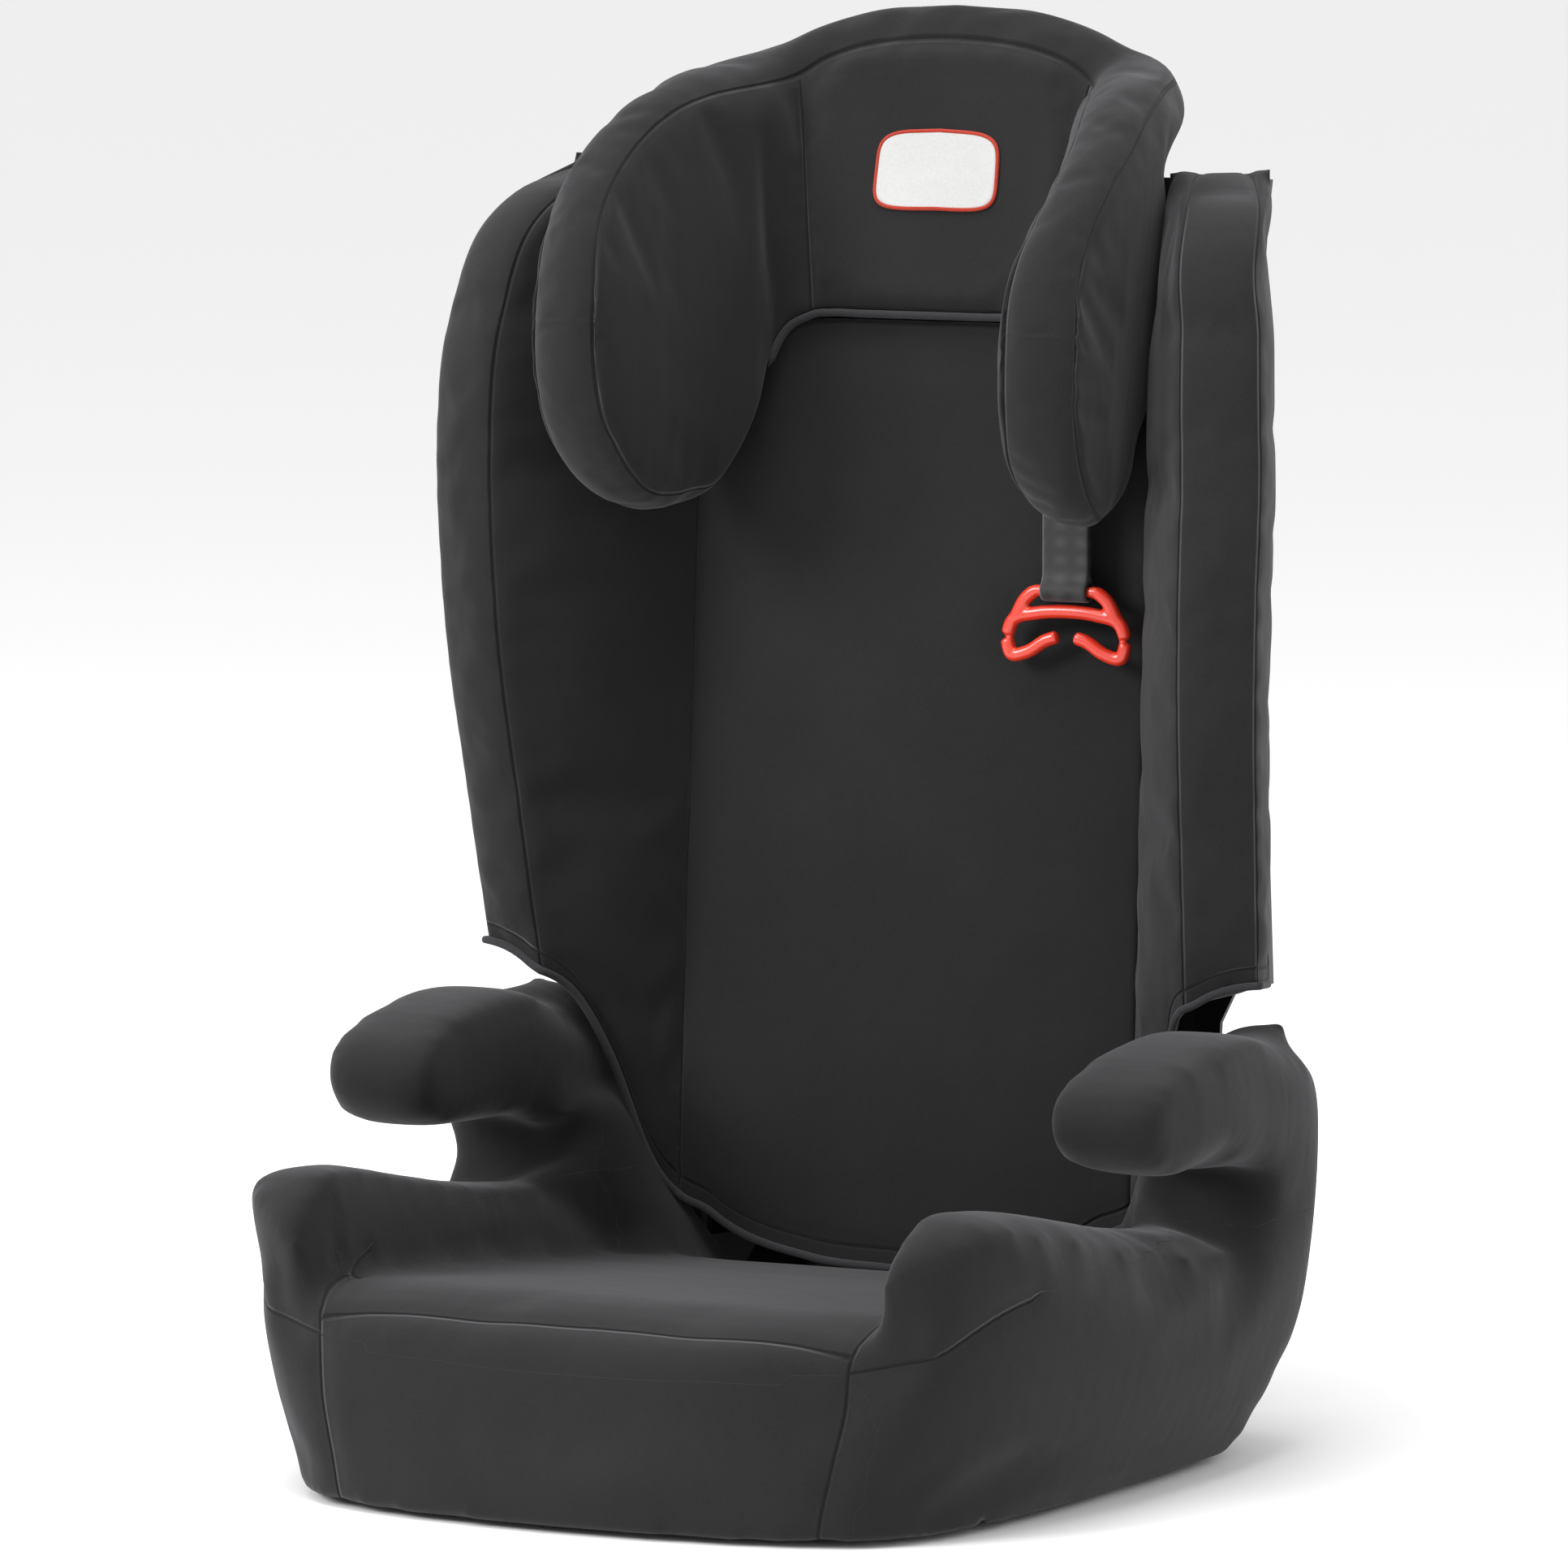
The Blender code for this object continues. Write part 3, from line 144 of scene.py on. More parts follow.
def skin(name, patches):
    """One closed mesh from grids of (points, puff, seams): equal border points become one, faces look
    outwards, and each point then moves along its normal by its puff."""
    points = np.concatenate([grid.reshape(-1, 3) for grid, _, _ in patches])
    quads, start = [], 0
    for grid, _, _ in patches:
        index = start + np.arange(grid.shape[0] * grid.shape[1]).reshape(grid.shape[:2])
        quads.append(np.stack([index[:-1, :-1], index[1:, :-1], index[1:, 1:], index[:-1, 1:]], -1))
        start += index.size
    mesh = bpy.data.meshes.new(name)
    mesh.from_pydata(points.tolist(), [], np.concatenate([q.reshape(-1, 4) for q in quads]).tolist())
    set_attribute(mesh, "puff", np.concatenate([puff.ravel() for _, puff, _ in patches]))
    set_attribute(mesh, "seams", np.concatenate([seams.reshape(-1, 3) for _, _, seams in patches]))
    work = bmesh.new()
    work.from_mesh(mesh)
    bmesh.ops.remove_doubles(work, verts=work.verts, dist=2e-5)
    bmesh.ops.recalc_face_normals(work, faces=work.faces)
    work.to_mesh(mesh)
    work.free()
    put(mesh, places(mesh) + directions(mesh) * get_attribute(mesh, "puff", 1)[:, None])
    mesh.shade_smooth()
    return mesh_object(name, mesh)


def relax(mesh, rounds, share=None):
    """Moves each point towards the mean of its neighbours, rounds times; share is how far it may."""
    ends = np.empty(len(mesh.edges) * 2, np.int32)
    mesh.edges.foreach_get("vertices", ends)
    ends = ends.reshape(-1, 2)
    count = np.bincount(ends.ravel(), minlength=len(mesh.vertices))[:, None]
    points = places(mesh)
    share = np.full(len(points), 0.5) if share is None else share
    for _ in range(rounds):
        total = np.stack([np.bincount(ends[:, 0], points[ends[:, 1], k], len(points))
                          + np.bincount(ends[:, 1], points[ends[:, 0], k], len(points))
                          for k in range(3)], axis=1)
        points = points + share[:, None] * (total / count - points)
    put(mesh, points)


def plump(piece, held, pressure, cap, slack=0.0, frames=20):
    """Cloth blown up a little from inside: held points stay where they are, and none moves further
    than cap.  slack is spare cloth, which gathers into soft puckers beside the seams."""
    group = piece.vertex_groups.new(name="held")
    group.add(np.flatnonzero(held).tolist(), 1.0, "REPLACE")
    before = places(piece.data)
    cloth = piece.modifiers.new("cloth", "CLOTH")
    cloth.settings.quality = 5
    cloth.settings.mass = 0.25
    cloth.settings.use_pressure = True
    cloth.settings.uniform_pressure_force = pressure
    cloth.settings.shrink_min = -slack
    cloth.settings.vertex_group_mass = "held"
    cloth.settings.effector_weights.gravity = 0
    cloth.point_cache.frame_start = 1
    cloth.point_cache.frame_end = frames
    for step in range(1, frames + 1):
        bpy.context.scene.frame_set(step)
    after = places(piece.evaluated_get(bpy.context.evaluated_depsgraph_get()).data)
    bpy.context.scene.frame_set(1)
    piece.modifiers.remove(cloth)
    piece.vertex_groups.remove(group)
    moved = after - before
    length = np.linalg.norm(moved, axis=1)[:, None] + 1e-9
    put(piece.data, before + moved * np.minimum(1.0, cap / length))


def seam_distance(mesh):
    return np.abs(get_attribute(mesh, "seams", 3)).min(axis=1)


def crease(mesh, depth, reach):
    """Pulls the cloth in beside its seams: depth on the seam, fading as a bell over the reach."""
    fall = np.exp(-(seam_distance(mesh) / reach) ** 2)
    put(mesh, places(mesh) - directions(mesh) * (depth * fall)[:, None])


def refined(piece, levels):
    modifier = piece.modifiers.new("subdivision", "SUBSURF")
    modifier.levels = levels
    modifier.render_levels = levels
    return piece


def sweep(name, path, across, up, closed=False):
    """A rounded bar along a path: at each point an ellipse-like ring stands square to the run, across
    wide and up high, with its ends closed to a dome."""
    path = np.asarray(path, float)
    run = np.roll(path, -1, 0) - np.roll(path, 1, 0) if closed else np.gradient(path, axis=0)
    run /= np.linalg.norm(run, axis=1)[:, None]
    side = np.cross(run, np.array([0.0, 1.0, 0.0]))
    side /= np.linalg.norm(side, axis=1)[:, None]
    over = np.cross(side, run)
    angle = np.linspace(0, 2 * np.pi, 21)
    ring = np.sign(np.cos(angle)) * np.abs(np.cos(angle)) ** 0.85
    rise = np.sign(np.sin(angle)) * np.abs(np.sin(angle)) ** 0.85
    size = np.ones(len(path))
    if not closed:
        length = np.linspace(0, 1, len(path))
        size = rounded(np.minimum(length, 1 - length), 1.5 / len(path), 2.0)
    points = (path[:, None] + (across * size[:, None] * ring)[..., None] * side[:, None]
              + (up * size[:, None] * rise)[..., None] * over[:, None])
    if closed:
        points = np.concatenate([points, points[:1]])
    flat = np.zeros(points.shape[:2])
    return skin(name, [(points, flat, np.full(points.shape, FAR))])


# ---------------------------------------------------------------- finishes
def linear(code):
    """sRGB hex to linear RGBA."""
    values = np.array([int(code[i:i + 2], 16) for i in (1, 3, 5)]) / 255
    values = np.where(values <= 0.04045, values / 12.92, ((values + 0.055) / 1.055) ** 2.4)
    return (*values.tolist(), 1.0)


def node(tree, kind, settings=None, **links):
    """Adds a shader node: settings are its properties and input values, links its input sockets."""
    made = tree.nodes.new(kind)
    for key, value in (settings or {}).items():
        if isinstance(key, int) or key in made.inputs:
            made.inputs[key].default_value = value
        else:
            setattr(made, key, value)
    for key, source in links.items():
        numbered = key[0] == "i" and key[1:].isdigit()
        tree.links.new(source, made.inputs[int(key[1:]) if numbered else key.replace("_", " ")])
    return made


def two_tone(tree, source, dark, light, low=0.0, high=1.0):
    """A ramp from a dark to a light colour between two levels of a pattern."""
    ramp = node(tree, "ShaderNodeValToRGB", i0=source)
    for element, level, colour in zip(ramp.color_ramp.elements, (low, high), (dark, light)):
        element.position = level
        element.color = linear(colour)
    return ramp.outputs["Color"]


def new_finish(name, roughness, metallic=0.0, **extra):
    finish = bpy.data.materials.new(name)
    finish.use_nodes = True
    shader = finish.node_tree.nodes["Principled BSDF"]
    shader.inputs["Roughness"].default_value = roughness
    shader.inputs["Metallic"].default_value = metallic
    for key, value in extra.items():
        shader.inputs[key.replace("_", " ")].default_value = value
    return finish, finish.node_tree, shader


def woven_polyester(name, dark, light, weave_mm, seams=True):
    """Brushed woven polyester over foam: matte with a soft bloom at grazing angles, a fine weave, a
    slight cloudiness where the nap lies differently, and a thin crease on each seam whose line is
    darkened in colour as painted shade."""
    finish, tree, shader = new_finish(name, 0.88, Sheen_Weight=0.16, Sheen_Roughness=0.5,
                                      Specular_IOR_Level=0.16)
    shader.inputs["Sheen Tint"].default_value = linear("#d8d8dc")
    where = node(tree, "ShaderNodeTexCoord").outputs["Object"]
    cloud = node(tree, "ShaderNodeTexNoise", {"Scale": 14.0, "Detail": 3.0}, Vector=where)
    melange = node(tree, "ShaderNodeTexNoise", {"Scale": 900.0, "Detail": 2.0}, Vector=where)
    half = node(tree, "ShaderNodeMath", {"operation": "MULTIPLY", 1: 0.5}, i0=cloud.outputs["Fac"])
    mixed = node(tree, "ShaderNodeMath", {"operation": "MULTIPLY_ADD", 1: 0.5},
                 i0=melange.outputs["Fac"], i2=half.outputs[0])
    colour = two_tone(tree, mixed.outputs[0], dark, light, 0.30, 0.70)
    threads = None
    for direction in "XYZ":
        band = node(tree, "ShaderNodeTexWave", {"bands_direction": direction, "Scale": 1000 / weave_mm / 20,
                                                "Distortion": 0.6, "Detail": 1.0}, Vector=where)
        threads = band.outputs["Fac"] if threads is None else node(
            tree, "ShaderNodeMath", {"operation": "ADD"}, i0=threads, i1=band.outputs["Fac"]).outputs[0]
    nap = node(tree, "ShaderNodeBump", {"Strength": 0.10, "Distance": 0.0003}, Height=threads)
    creases = node(tree, "ShaderNodeTexNoise", {"Scale": 45.0, "Detail": 2.0, "Distortion": 0.8},
                   Vector=where)
    soft = node(tree, "ShaderNodeBump", {"Strength": 0.10, "Distance": 0.004}, Height=creases.outputs["Fac"],
                Normal=nap.outputs["Normal"])
    normal = soft.outputs["Normal"]
    if seams:
        line = node(tree, "ShaderNodeAttribute", {"attribute_name": "seams"})
        near = node(tree, "ShaderNodeVectorMath", {"operation": "ABSOLUTE"}, i0=line.outputs["Vector"])
        parts = node(tree, "ShaderNodeSeparateXYZ", Vector=near.outputs["Vector"])
        least = node(tree, "ShaderNodeMath", {"operation": "MINIMUM"}, i0=parts.outputs["X"],
                     i1=parts.outputs["Y"])
        least = node(tree, "ShaderNodeMath", {"operation": "MINIMUM"}, i0=least.outputs[0],
                     i1=parts.outputs["Z"])
        groove = node(tree, "ShaderNodeMapRange", {"From Min": 0.0, "From Max": SEAM_WIDTH,
                                                   "interpolation_type": "SMOOTHSTEP"}, Value=least.outputs[0])
        # Painted shade: the cloth's colour falls to 0.35 of itself on a seam's line and is whole again 1.2 mm
        # off it, standing in for the shade in the seam's crease.
        painted_seam_shade = node(tree, "ShaderNodeMapRange", {"From Min": 0.0002, "From Max": 0.0012, "To Min": 0.35},
                     Value=least.outputs[0])
        dip = node(tree, "ShaderNodeBump", {"Strength": 0.9, "Distance": 0.0014},
                   Height=groove.outputs["Result"], Normal=normal)
        tone = node(tree, "ShaderNodeVectorMath", {"operation": "SCALE"}, i0=colour,
                    Scale=painted_seam_shade.outputs["Result"])
        colour, normal = tone.outputs["Vector"], dip.outputs["Normal"]
    tree.links.new(colour, shader.inputs["Base Color"])
    tree.links.new(normal, shader.inputs["Normal"])
    return finish


def moulded(name, low, high, roughness, grain_mm, depth, **extra):
    """Injection-moulded plastic: an even colour with faint flow clouding and a fine spark-eroded grain."""
    finish, tree, shader = new_finish(name, roughness, **extra)
    where = node(tree, "ShaderNodeTexCoord").outputs["Object"]
    flow = node(tree, "ShaderNodeTexNoise", {"Scale": 18.0, "Detail": 4.0}, Vector=where)
    colour = two_tone(tree, flow.outputs["Fac"], low, high, 0.25, 0.75)
    grain = node(tree, "ShaderNodeTexNoise", {"Scale": 1000 / grain_mm, "Detail": 3.0}, Vector=where)
    bump = node(tree, "ShaderNodeBump", {"Strength": 0.35, "Distance": depth}, Height=grain.outputs["Fac"])
    worn = node(tree, "ShaderNodeMapRange", {"To Min": roughness - 0.06, "To Max": roughness + 0.06},
                Value=flow.outputs["Fac"])
    tree.links.new(colour, shader.inputs["Base Color"])
    tree.links.new(worn.outputs["Result"], shader.inputs["Roughness"])
    tree.links.new(bump.outputs["Normal"], shader.inputs["Normal"])
    return finish


def drawn_steel(name, tone, roughness):
    """Zinc-plated drawn steel: pale metal with dull plating patches in its roughness and a faint bump."""
    finish, tree, shader = new_finish(name, roughness, 1.0)
    shader.inputs["Base Color"].default_value = linear(tone)
    where = node(tree, "ShaderNodeTexCoord").outputs["Object"]
    patches = node(tree, "ShaderNodeTexNoise", {"Scale": 160.0, "Detail": 5.0}, Vector=where)
    worn = node(tree, "ShaderNodeMapRange", {"To Min": roughness - 0.08, "To Max": roughness + 0.12},
                Value=patches.outputs["Fac"])
    bump = node(tree, "ShaderNodeBump", {"Strength": 0.15, "Distance": 0.0001},
                Height=patches.outputs["Fac"])
    tree.links.new(worn.outputs["Result"], shader.inputs["Roughness"])
    tree.links.new(bump.outputs["Normal"], shader.inputs["Normal"])
    return finish


def webbing(name, dark, light):
    """Woven polyester webbing: ribs 1.4 mm apart across the strap and a low sheen."""
    finish, tree, shader = new_finish(name, 0.62, Sheen_Weight=0.2, Specular_IOR_Level=0.35)
    where = node(tree, "ShaderNodeTexCoord").outputs["Object"]
    ribs = node(tree, "ShaderNodeTexWave", {"bands_direction": "Z", "Scale": 1000 / 1.4 / 20,
                                            "Distortion": 0.3}, Vector=where)
    ends = node(tree, "ShaderNodeTexWave", {"bands_direction": "X", "Scale": 1000 / 1.8 / 20,
                                            "Distortion": 0.3}, Vector=where)
    both = node(tree, "ShaderNodeMath", {"operation": "MULTIPLY"}, i0=ribs.outputs["Fac"],
                i1=ends.outputs["Fac"])
    colour = two_tone(tree, both.outputs[0], dark, light)
    bump = node(tree, "ShaderNodeBump", {"Strength": 0.6, "Distance": 0.0004}, Height=both.outputs[0])
    tree.links.new(colour, shader.inputs["Base Color"])
    tree.links.new(bump.outputs["Normal"], shader.inputs["Normal"])
    return finish


COVER = woven_polyester("woven_polyester_charcoal", "#161617", "#1e1e1f", 2.0)
PIPING = woven_polyester("polyester_piping_cord", "#262628", "#303032", 1.6, seams=False)
SHELL = moulded("moulded_polypropylene_black", "#0f0f10", "#141415", 0.50, 0.9, 0.0002)
SLIDER = moulded("moulded_acetal_grey", "#4a4b4d", "#55565a", 0.38, 1.2, 0.0001)
GUIDE = moulded("moulded_nylon_orange", "#c42a18", "#d23a24", 0.26, 2.0, 0.00003, Coat_Weight=0.25,
                Coat_Roughness=0.12)
RUBBER = moulded("moulded_rubber_black", "#1a1a1a", "#242424", 0.80, 0.7, 0.0002)
STEEL = drawn_steel("drawn_steel_zinc", "#b9bcc0", 0.30)
SPRING = drawn_steel("spring_steel_wire", "#9a9da1", 0.25)
STRAP = webbing("woven_webbing_grey", "#161617", "#2a2a2c")
PATCH = woven_polyester("woven_label_white", "#a9a9a8", "#b6b6b5", 1.6, seams=False)
EDGE = woven_polyester("label_edge_stitching", "#8e2a1c", "#a43a2a", 1.6, seams=False)


def finish_with(piece, finish, body, replaced=()):
    """Material, body, material slot and the CAD nodes that the piece stands for."""
    piece.data.materials.clear()
    piece.data.materials.append(finish)
    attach(piece, body)
    if replaced:
        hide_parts(*replaced)
    return piece


# ---------------------------------------------------------------- headrest
# Corner curves of the headrest from its middle (0) round the corner (0.25) to a wing's tip (1), in the
# upright frame: each row is the parameter, then x, y, z.
INNER_TOP = [(0, 0, -.0262, .6430), (.12, .040, -.0264, .6395), (.20, .066, -.0268, .6315),
             (.25, .0785, -.0290, .6230), (.32, .088, -.052, .6180), (.42, .099, -.079, .6130),
             (.52, .107, -.103, .6050), (.62, .113, -.127, .5910), (.72, .115, -.150, .5730),
             (.82, .114, -.169, .5540), (.91, .111, -.182, .5330), (.97, .109, -.1865, .5130),
             (1, .109, -.1875, .5000)]
INNER_LOW = [(0, 0, -.0455, .508), (.12, .034, -.0455, .508), (.20, .050, -.0458, .508),
             (.25, .0600, -.0465, .5065), (.29, .0725, -.0480, .4990), (.32, .0785, -.0505, .4860),
             (.37, .0820, -.0600, .4540), (.42, .0880, -.0750, .4280), (.52, .0960, -.1000, .4170),
             (.62, .1010, -.1280, .4155), (.72, .1025, -.1500, .4240), (.82, .1040, -.1680, .4390),
             (.91, .1070, -.1810, .4590), (.97, .1085, -.1865, .4830), (1, .109, -.1875, .5000)]
OUTER_TOP = [(0, 0, .0010, .6480), (.12, .046, .0010, .6445), (.20, .084, .0000, .6370),
             (.25, .107, -.0040, .6310), (.32, .1225, -.0220, .6265), (.42, .1335, -.0620, .6185),
             (.52, .1405, -.0970, .6050), (.62, .1450, -.1240, .5885), (.72, .1462, -.1480, .5715),
             (.82, .1458, -.1660, .5520), (.91, .1450, -.1770, .5310), (.97, .1450, -.1805, .5120),
             (1, .1450, -.1815, .4990)]
SHOULDER = [(0, 0, .0025, .6360), (.12, .046, .0025, .6330), (.20, .086, .0015, .6230),
            (.25, .112, -.0010, .6140), (.32, .1255, -.0150, .6080), (.42, .1365, -.0580, .6020),
            (.52, .1415, -.0940, .5880), (.62, .1445, -.1242, .5710), (.72, .1454, -.1482, .5570),
            (.82, .1454, -.1662, .5410), (.91, .1449, -.1771, .5244), (.97, .1450, -.1806, .5093),
            (1, .1450, -.1815, .4990)]
NECK = [(0, 0, -.0125, .6220), (.12, .046, -.0125, .6220), (.20, .084, -.0125, .6120),
        (.25, .1105, -.0135, .5930), (.32, .1215, -.0280, .5860), (.42, .1300, -.0640, .5750),
        (.52, .1380, -.0970, .5600), (.62, .1420, -.1245, .5450), (.72, .1443, -.1485, .5350),
        (.82, .1449, -.1665, .5250), (.91, .1448, -.1773, .5145), (.97, .1450, -.1806, .5050),
        (1, .1450, -.1815, .4990)]
OUTER_LOW = [(0, 0, -.0125, .508), (.12, .046, -.0125, .508), (.20, .082, -.0125, .508),
             (.25, .106, -.0170, .507), (.32, .1205, -.0380, .4850), (.42, .1225, -.0680, .4280),
             (.52, .1260, -.1000, .4110), (.62, .1330, -.1260, .4140), (.72, .1385, -.1500, .4250),
             (.82, .1420, -.1680, .4430), (.91, .1440, -.1780, .4650), (.97, .1450, -.1810, .4850),
             (1, .1450, -.1815, .4990)]
SHOULDER_AT = 0.1                # shares of the rear face's height, from the top
NECK_AT = 0.233
BAND_CROWN = [(0, .0145), (.12, .0145), (.20, .0130), (.25, .0115), (.32, .0085), (.42, .0070),
              (.62, .0060), (1, .0045)]
INNER_BULGE = [(0, -.0060), (.15, -.0050), (.22, -.002), (.25, 0), (.32, .0030), (.45, .0085),
               (.70, .0095), (.85, .006), (.95, .002), (1, 0)]


def head_corner(rows, s):
    """A corner curve at s, from -1 at the left wing's tip to 1 at the right one's."""
    found = read(rows, np.abs(s))
    found[..., 0] *= np.sign(s)
    return found


def head_front(s, t):
    """The face towards the child: straight from its lower corner curve (t 0) to its upper one (t 1)."""
    low, high = head_corner(INNER_LOW, s), head_corner(INNER_TOP, s)
    return low + (high - low) * t[..., None]


def head_bulge(s, t):
    return read(INNER_BULGE, np.abs(s)) * arch(t, 0.75)


def build_headrest():
    """A loop of four spans at each place along the U: front face, top band, rear face, lower band."""
    half = np.concatenate([np.linspace(0, 0.25, 15), np.linspace(0.25, 0.91, 42)[1:],
                           1 - 0.09 * (1 - np.linspace(0, 1, 12)[1:]) ** 1.8])
    s = np.concatenate([-half[:0:-1], half])[:, None]
    t = eased(33, 1.25)[None]
    u = np.linspace(0, 1, 11)[None]
    run = travelled(head_front(s, np.full_like(s, 0.5))[:, 0])
    corner = np.interp(0.25, s[:, 0], run) - np.interp(0.0, s[:, 0], run)
    along = np.abs(run - np.interp(0.0, s[:, 0], run)) - corner
    front = head_front(s + 0 * t, t + 0 * s)
    height = np.linalg.norm(front[:, -1] - front[:, 0], axis=1)[:, None]
    top_in, top_out = head_corner(INNER_TOP, s), head_corner(OUTER_TOP, s)
    low_in, low_out = head_corner(INNER_LOW, s), head_corner(OUTER_LOW, s)
    top = top_in + (top_out - top_in) * u[..., None]
    low = low_out + (low_in - low_out) * u[..., None]
    shoulder, neck = head_corner(SHOULDER, s), head_corner(NECK, s)
    v = np.linspace(0, 1, 31)[None, :, None]
    rear = np.where(v < SHOULDER_AT, top_out + (shoulder - top_out) * v / SHOULDER_AT,
                    shoulder + (neck - shoulder) * (v - SHOULDER_AT) / (NECK_AT - SHOULDER_AT))
    rear = np.where(v < NECK_AT, rear, neck + (low_out - neck) * (v - NECK_AT) / (1 - NECK_AT))
    width = np.linalg.norm(top_out - top_in, axis=-1)
    under = np.linalg.norm(low_out - low_in, axis=-1)
    crown = read(BAND_CROWN, np.abs(s)) * arch(u, 0.7)
    under_crown = np.interp(np.abs(s), [0, .25, .45, 1], [.0015, .003, .0045, .0045]) * arch(u, 0.7)
    rear_puff = np.interp(np.abs(s), [0, .32, .5, .95, 1], [0, 0, .002, .001, 0]) * arch(v[..., 0])
    panel = along[:, None] + 0 * t
    far_t, far_u, far_v = [np.full(face.shape[:2], FAR) for face in (front, top, rear)]
    edge = -np.minimum(t, 1 - t) * height
    off_panel = along[:, None] + np.sign(along[:, None]) * 0.02
    patches = [
        (front, head_bulge(s, t), np.stack([edge, far_t, panel], -1)),
        (top, crown, np.stack([u * width, (1 - u) * width, off_panel + far_u], -1)),
        (rear, rear_puff, np.stack([far_v, -np.minimum(v[..., 0], 1 - v[..., 0]) * height, far_v], -1)),
        (low, under_crown, np.stack([(1 - u) * under, u * under, off_panel + far_u], -1)),
    ]
    patches = [(leaned(points), puff + 0 * points[..., 0], seams) for points, puff, seams in patches]
    head = skin("headrest_padding", patches)
    still = np.clip(seam_distance(head.data) / 0.006, 0.05, 1) * 0.5
    relax(head.data, 4, still)
    plump(head, seam_distance(head.data) < HELD_SEAM, 3.0, 0.004, 0.01)
    crease(head.data, 0.0016, 0.004)
    refined(head, 1)
    return finish_with(head, COVER, "headrest",
                       ("head_cover", "head_center_pad", "left_head_wing_pad", "right_head_wing_pad"))


def build_head_piping():
    """A cord under the head panel's lower edge, curling down round the wings' corners."""
    path = head_corner(INNER_LOW, np.linspace(-0.33, 0.33, 81))
    path -= np.array([0.0, 0.0008, 0.0014])
    cord = sweep("head_hem_piping", leaned(path), PIPING_RADIUS, PIPING_RADIUS)
    return finish_with(cord, PIPING, "headrest", ("head_piping",))


# ---------------------------------------------------------------- backrest
HALF_WIDTH = [(0.000, 0.205), (0.180, 0.2125), (0.270, 0.2180), (0.375, 0.2242), (0.450, 0.2258),
              (0.520, 0.2185), (0.560, 0.206), (0.5795, 0.191)]
WING_DEPTH = [(0.000, -0.055), (0.176, -0.0975), (0.257, -0.118), (0.337, -0.137), (0.420, -0.146),
              (0.500, -0.144), (0.550, -0.125), (0.5795, -0.082)]
HEM = [(0.0, 0.0355), (0.049, 0.0385), (0.103, 0.0566), (0.136, 0.087), (0.150, 0.136), (0.160, 0.162),
       (0.181, 0.180), (0.240, 0.191)]
PANEL_EDGE = 0.1225
PANEL_FRONT = -0.0400
PANEL_REAR = -0.0150
PANEL_TOP = 0.5040
BACK_TOP = 0.5795


def wing_section(z):
    """Corner points of a wing's plan at a height: panel seam, front seam, outer seam, rear edge, and
    two points of the face that lies against the shell."""
    width, front = read(HALF_WIDTH, z), read(WING_DEPTH, z)
    side = width - 0.5 * np.maximum(0.0, -0.078 - front)
    inner = PANEL_EDGE + 0.005 * np.clip((z - 0.495) / 0.02, 0, 1)
    return [np.stack([x + 0 * z, y + 0 * z], -1) for x, y in (
        (inner, PANEL_FRONT), (0.816 * width, front), (width - 0.004, front + 0.0125),
        (side - 0.001, -0.0570), (0.81 * side - 0.006, -0.0030), (inner + 0.008, -0.0100))]


def path_point(corners, q):
    """A point on a broken line through corner points, at q from 0 to the last corner's number."""
    k = np.clip(np.floor(q).astype(int), 0, len(corners) - 2)
    start = np.choose(k[..., None], corners[:-1])
    return start + (np.choose(k[..., None], corners[1:]) - start) * (q - k)[..., None]


def hem_under(q):
    """Height of the hem below the wing's visible face at q, met by repeated reading of the U."""
    low = np.full(q.shape, 0.15)
    for _ in range(12):
        low = read(HEM, path_point(wing_section(low)[:4], q)[..., 0])
    return low


def upright_rows(low, top, dome, count):
    """Heights from hem to top with the share by which the sheets stand apart: a quarter circle at the
    hem and one at the top, and even steps between."""
    turn = np.linspace(0, np.pi / 2, 7)[None]
    body = np.linspace(0, 1, count)[None, 1:-1]
    first, last = low + HEM_RADIUS, top - dome
    heights = np.concatenate([first - HEM_RADIUS * np.cos(turn) + 0 * low, first + (last - first) * body,
                              last + dome * np.sin(turn) + 0 * low], axis=1)
    apart = np.concatenate([np.sin(turn), np.ones_like(body), np.cos(turn) ** 0.75], axis=1)
    return heights, apart + 0 * low


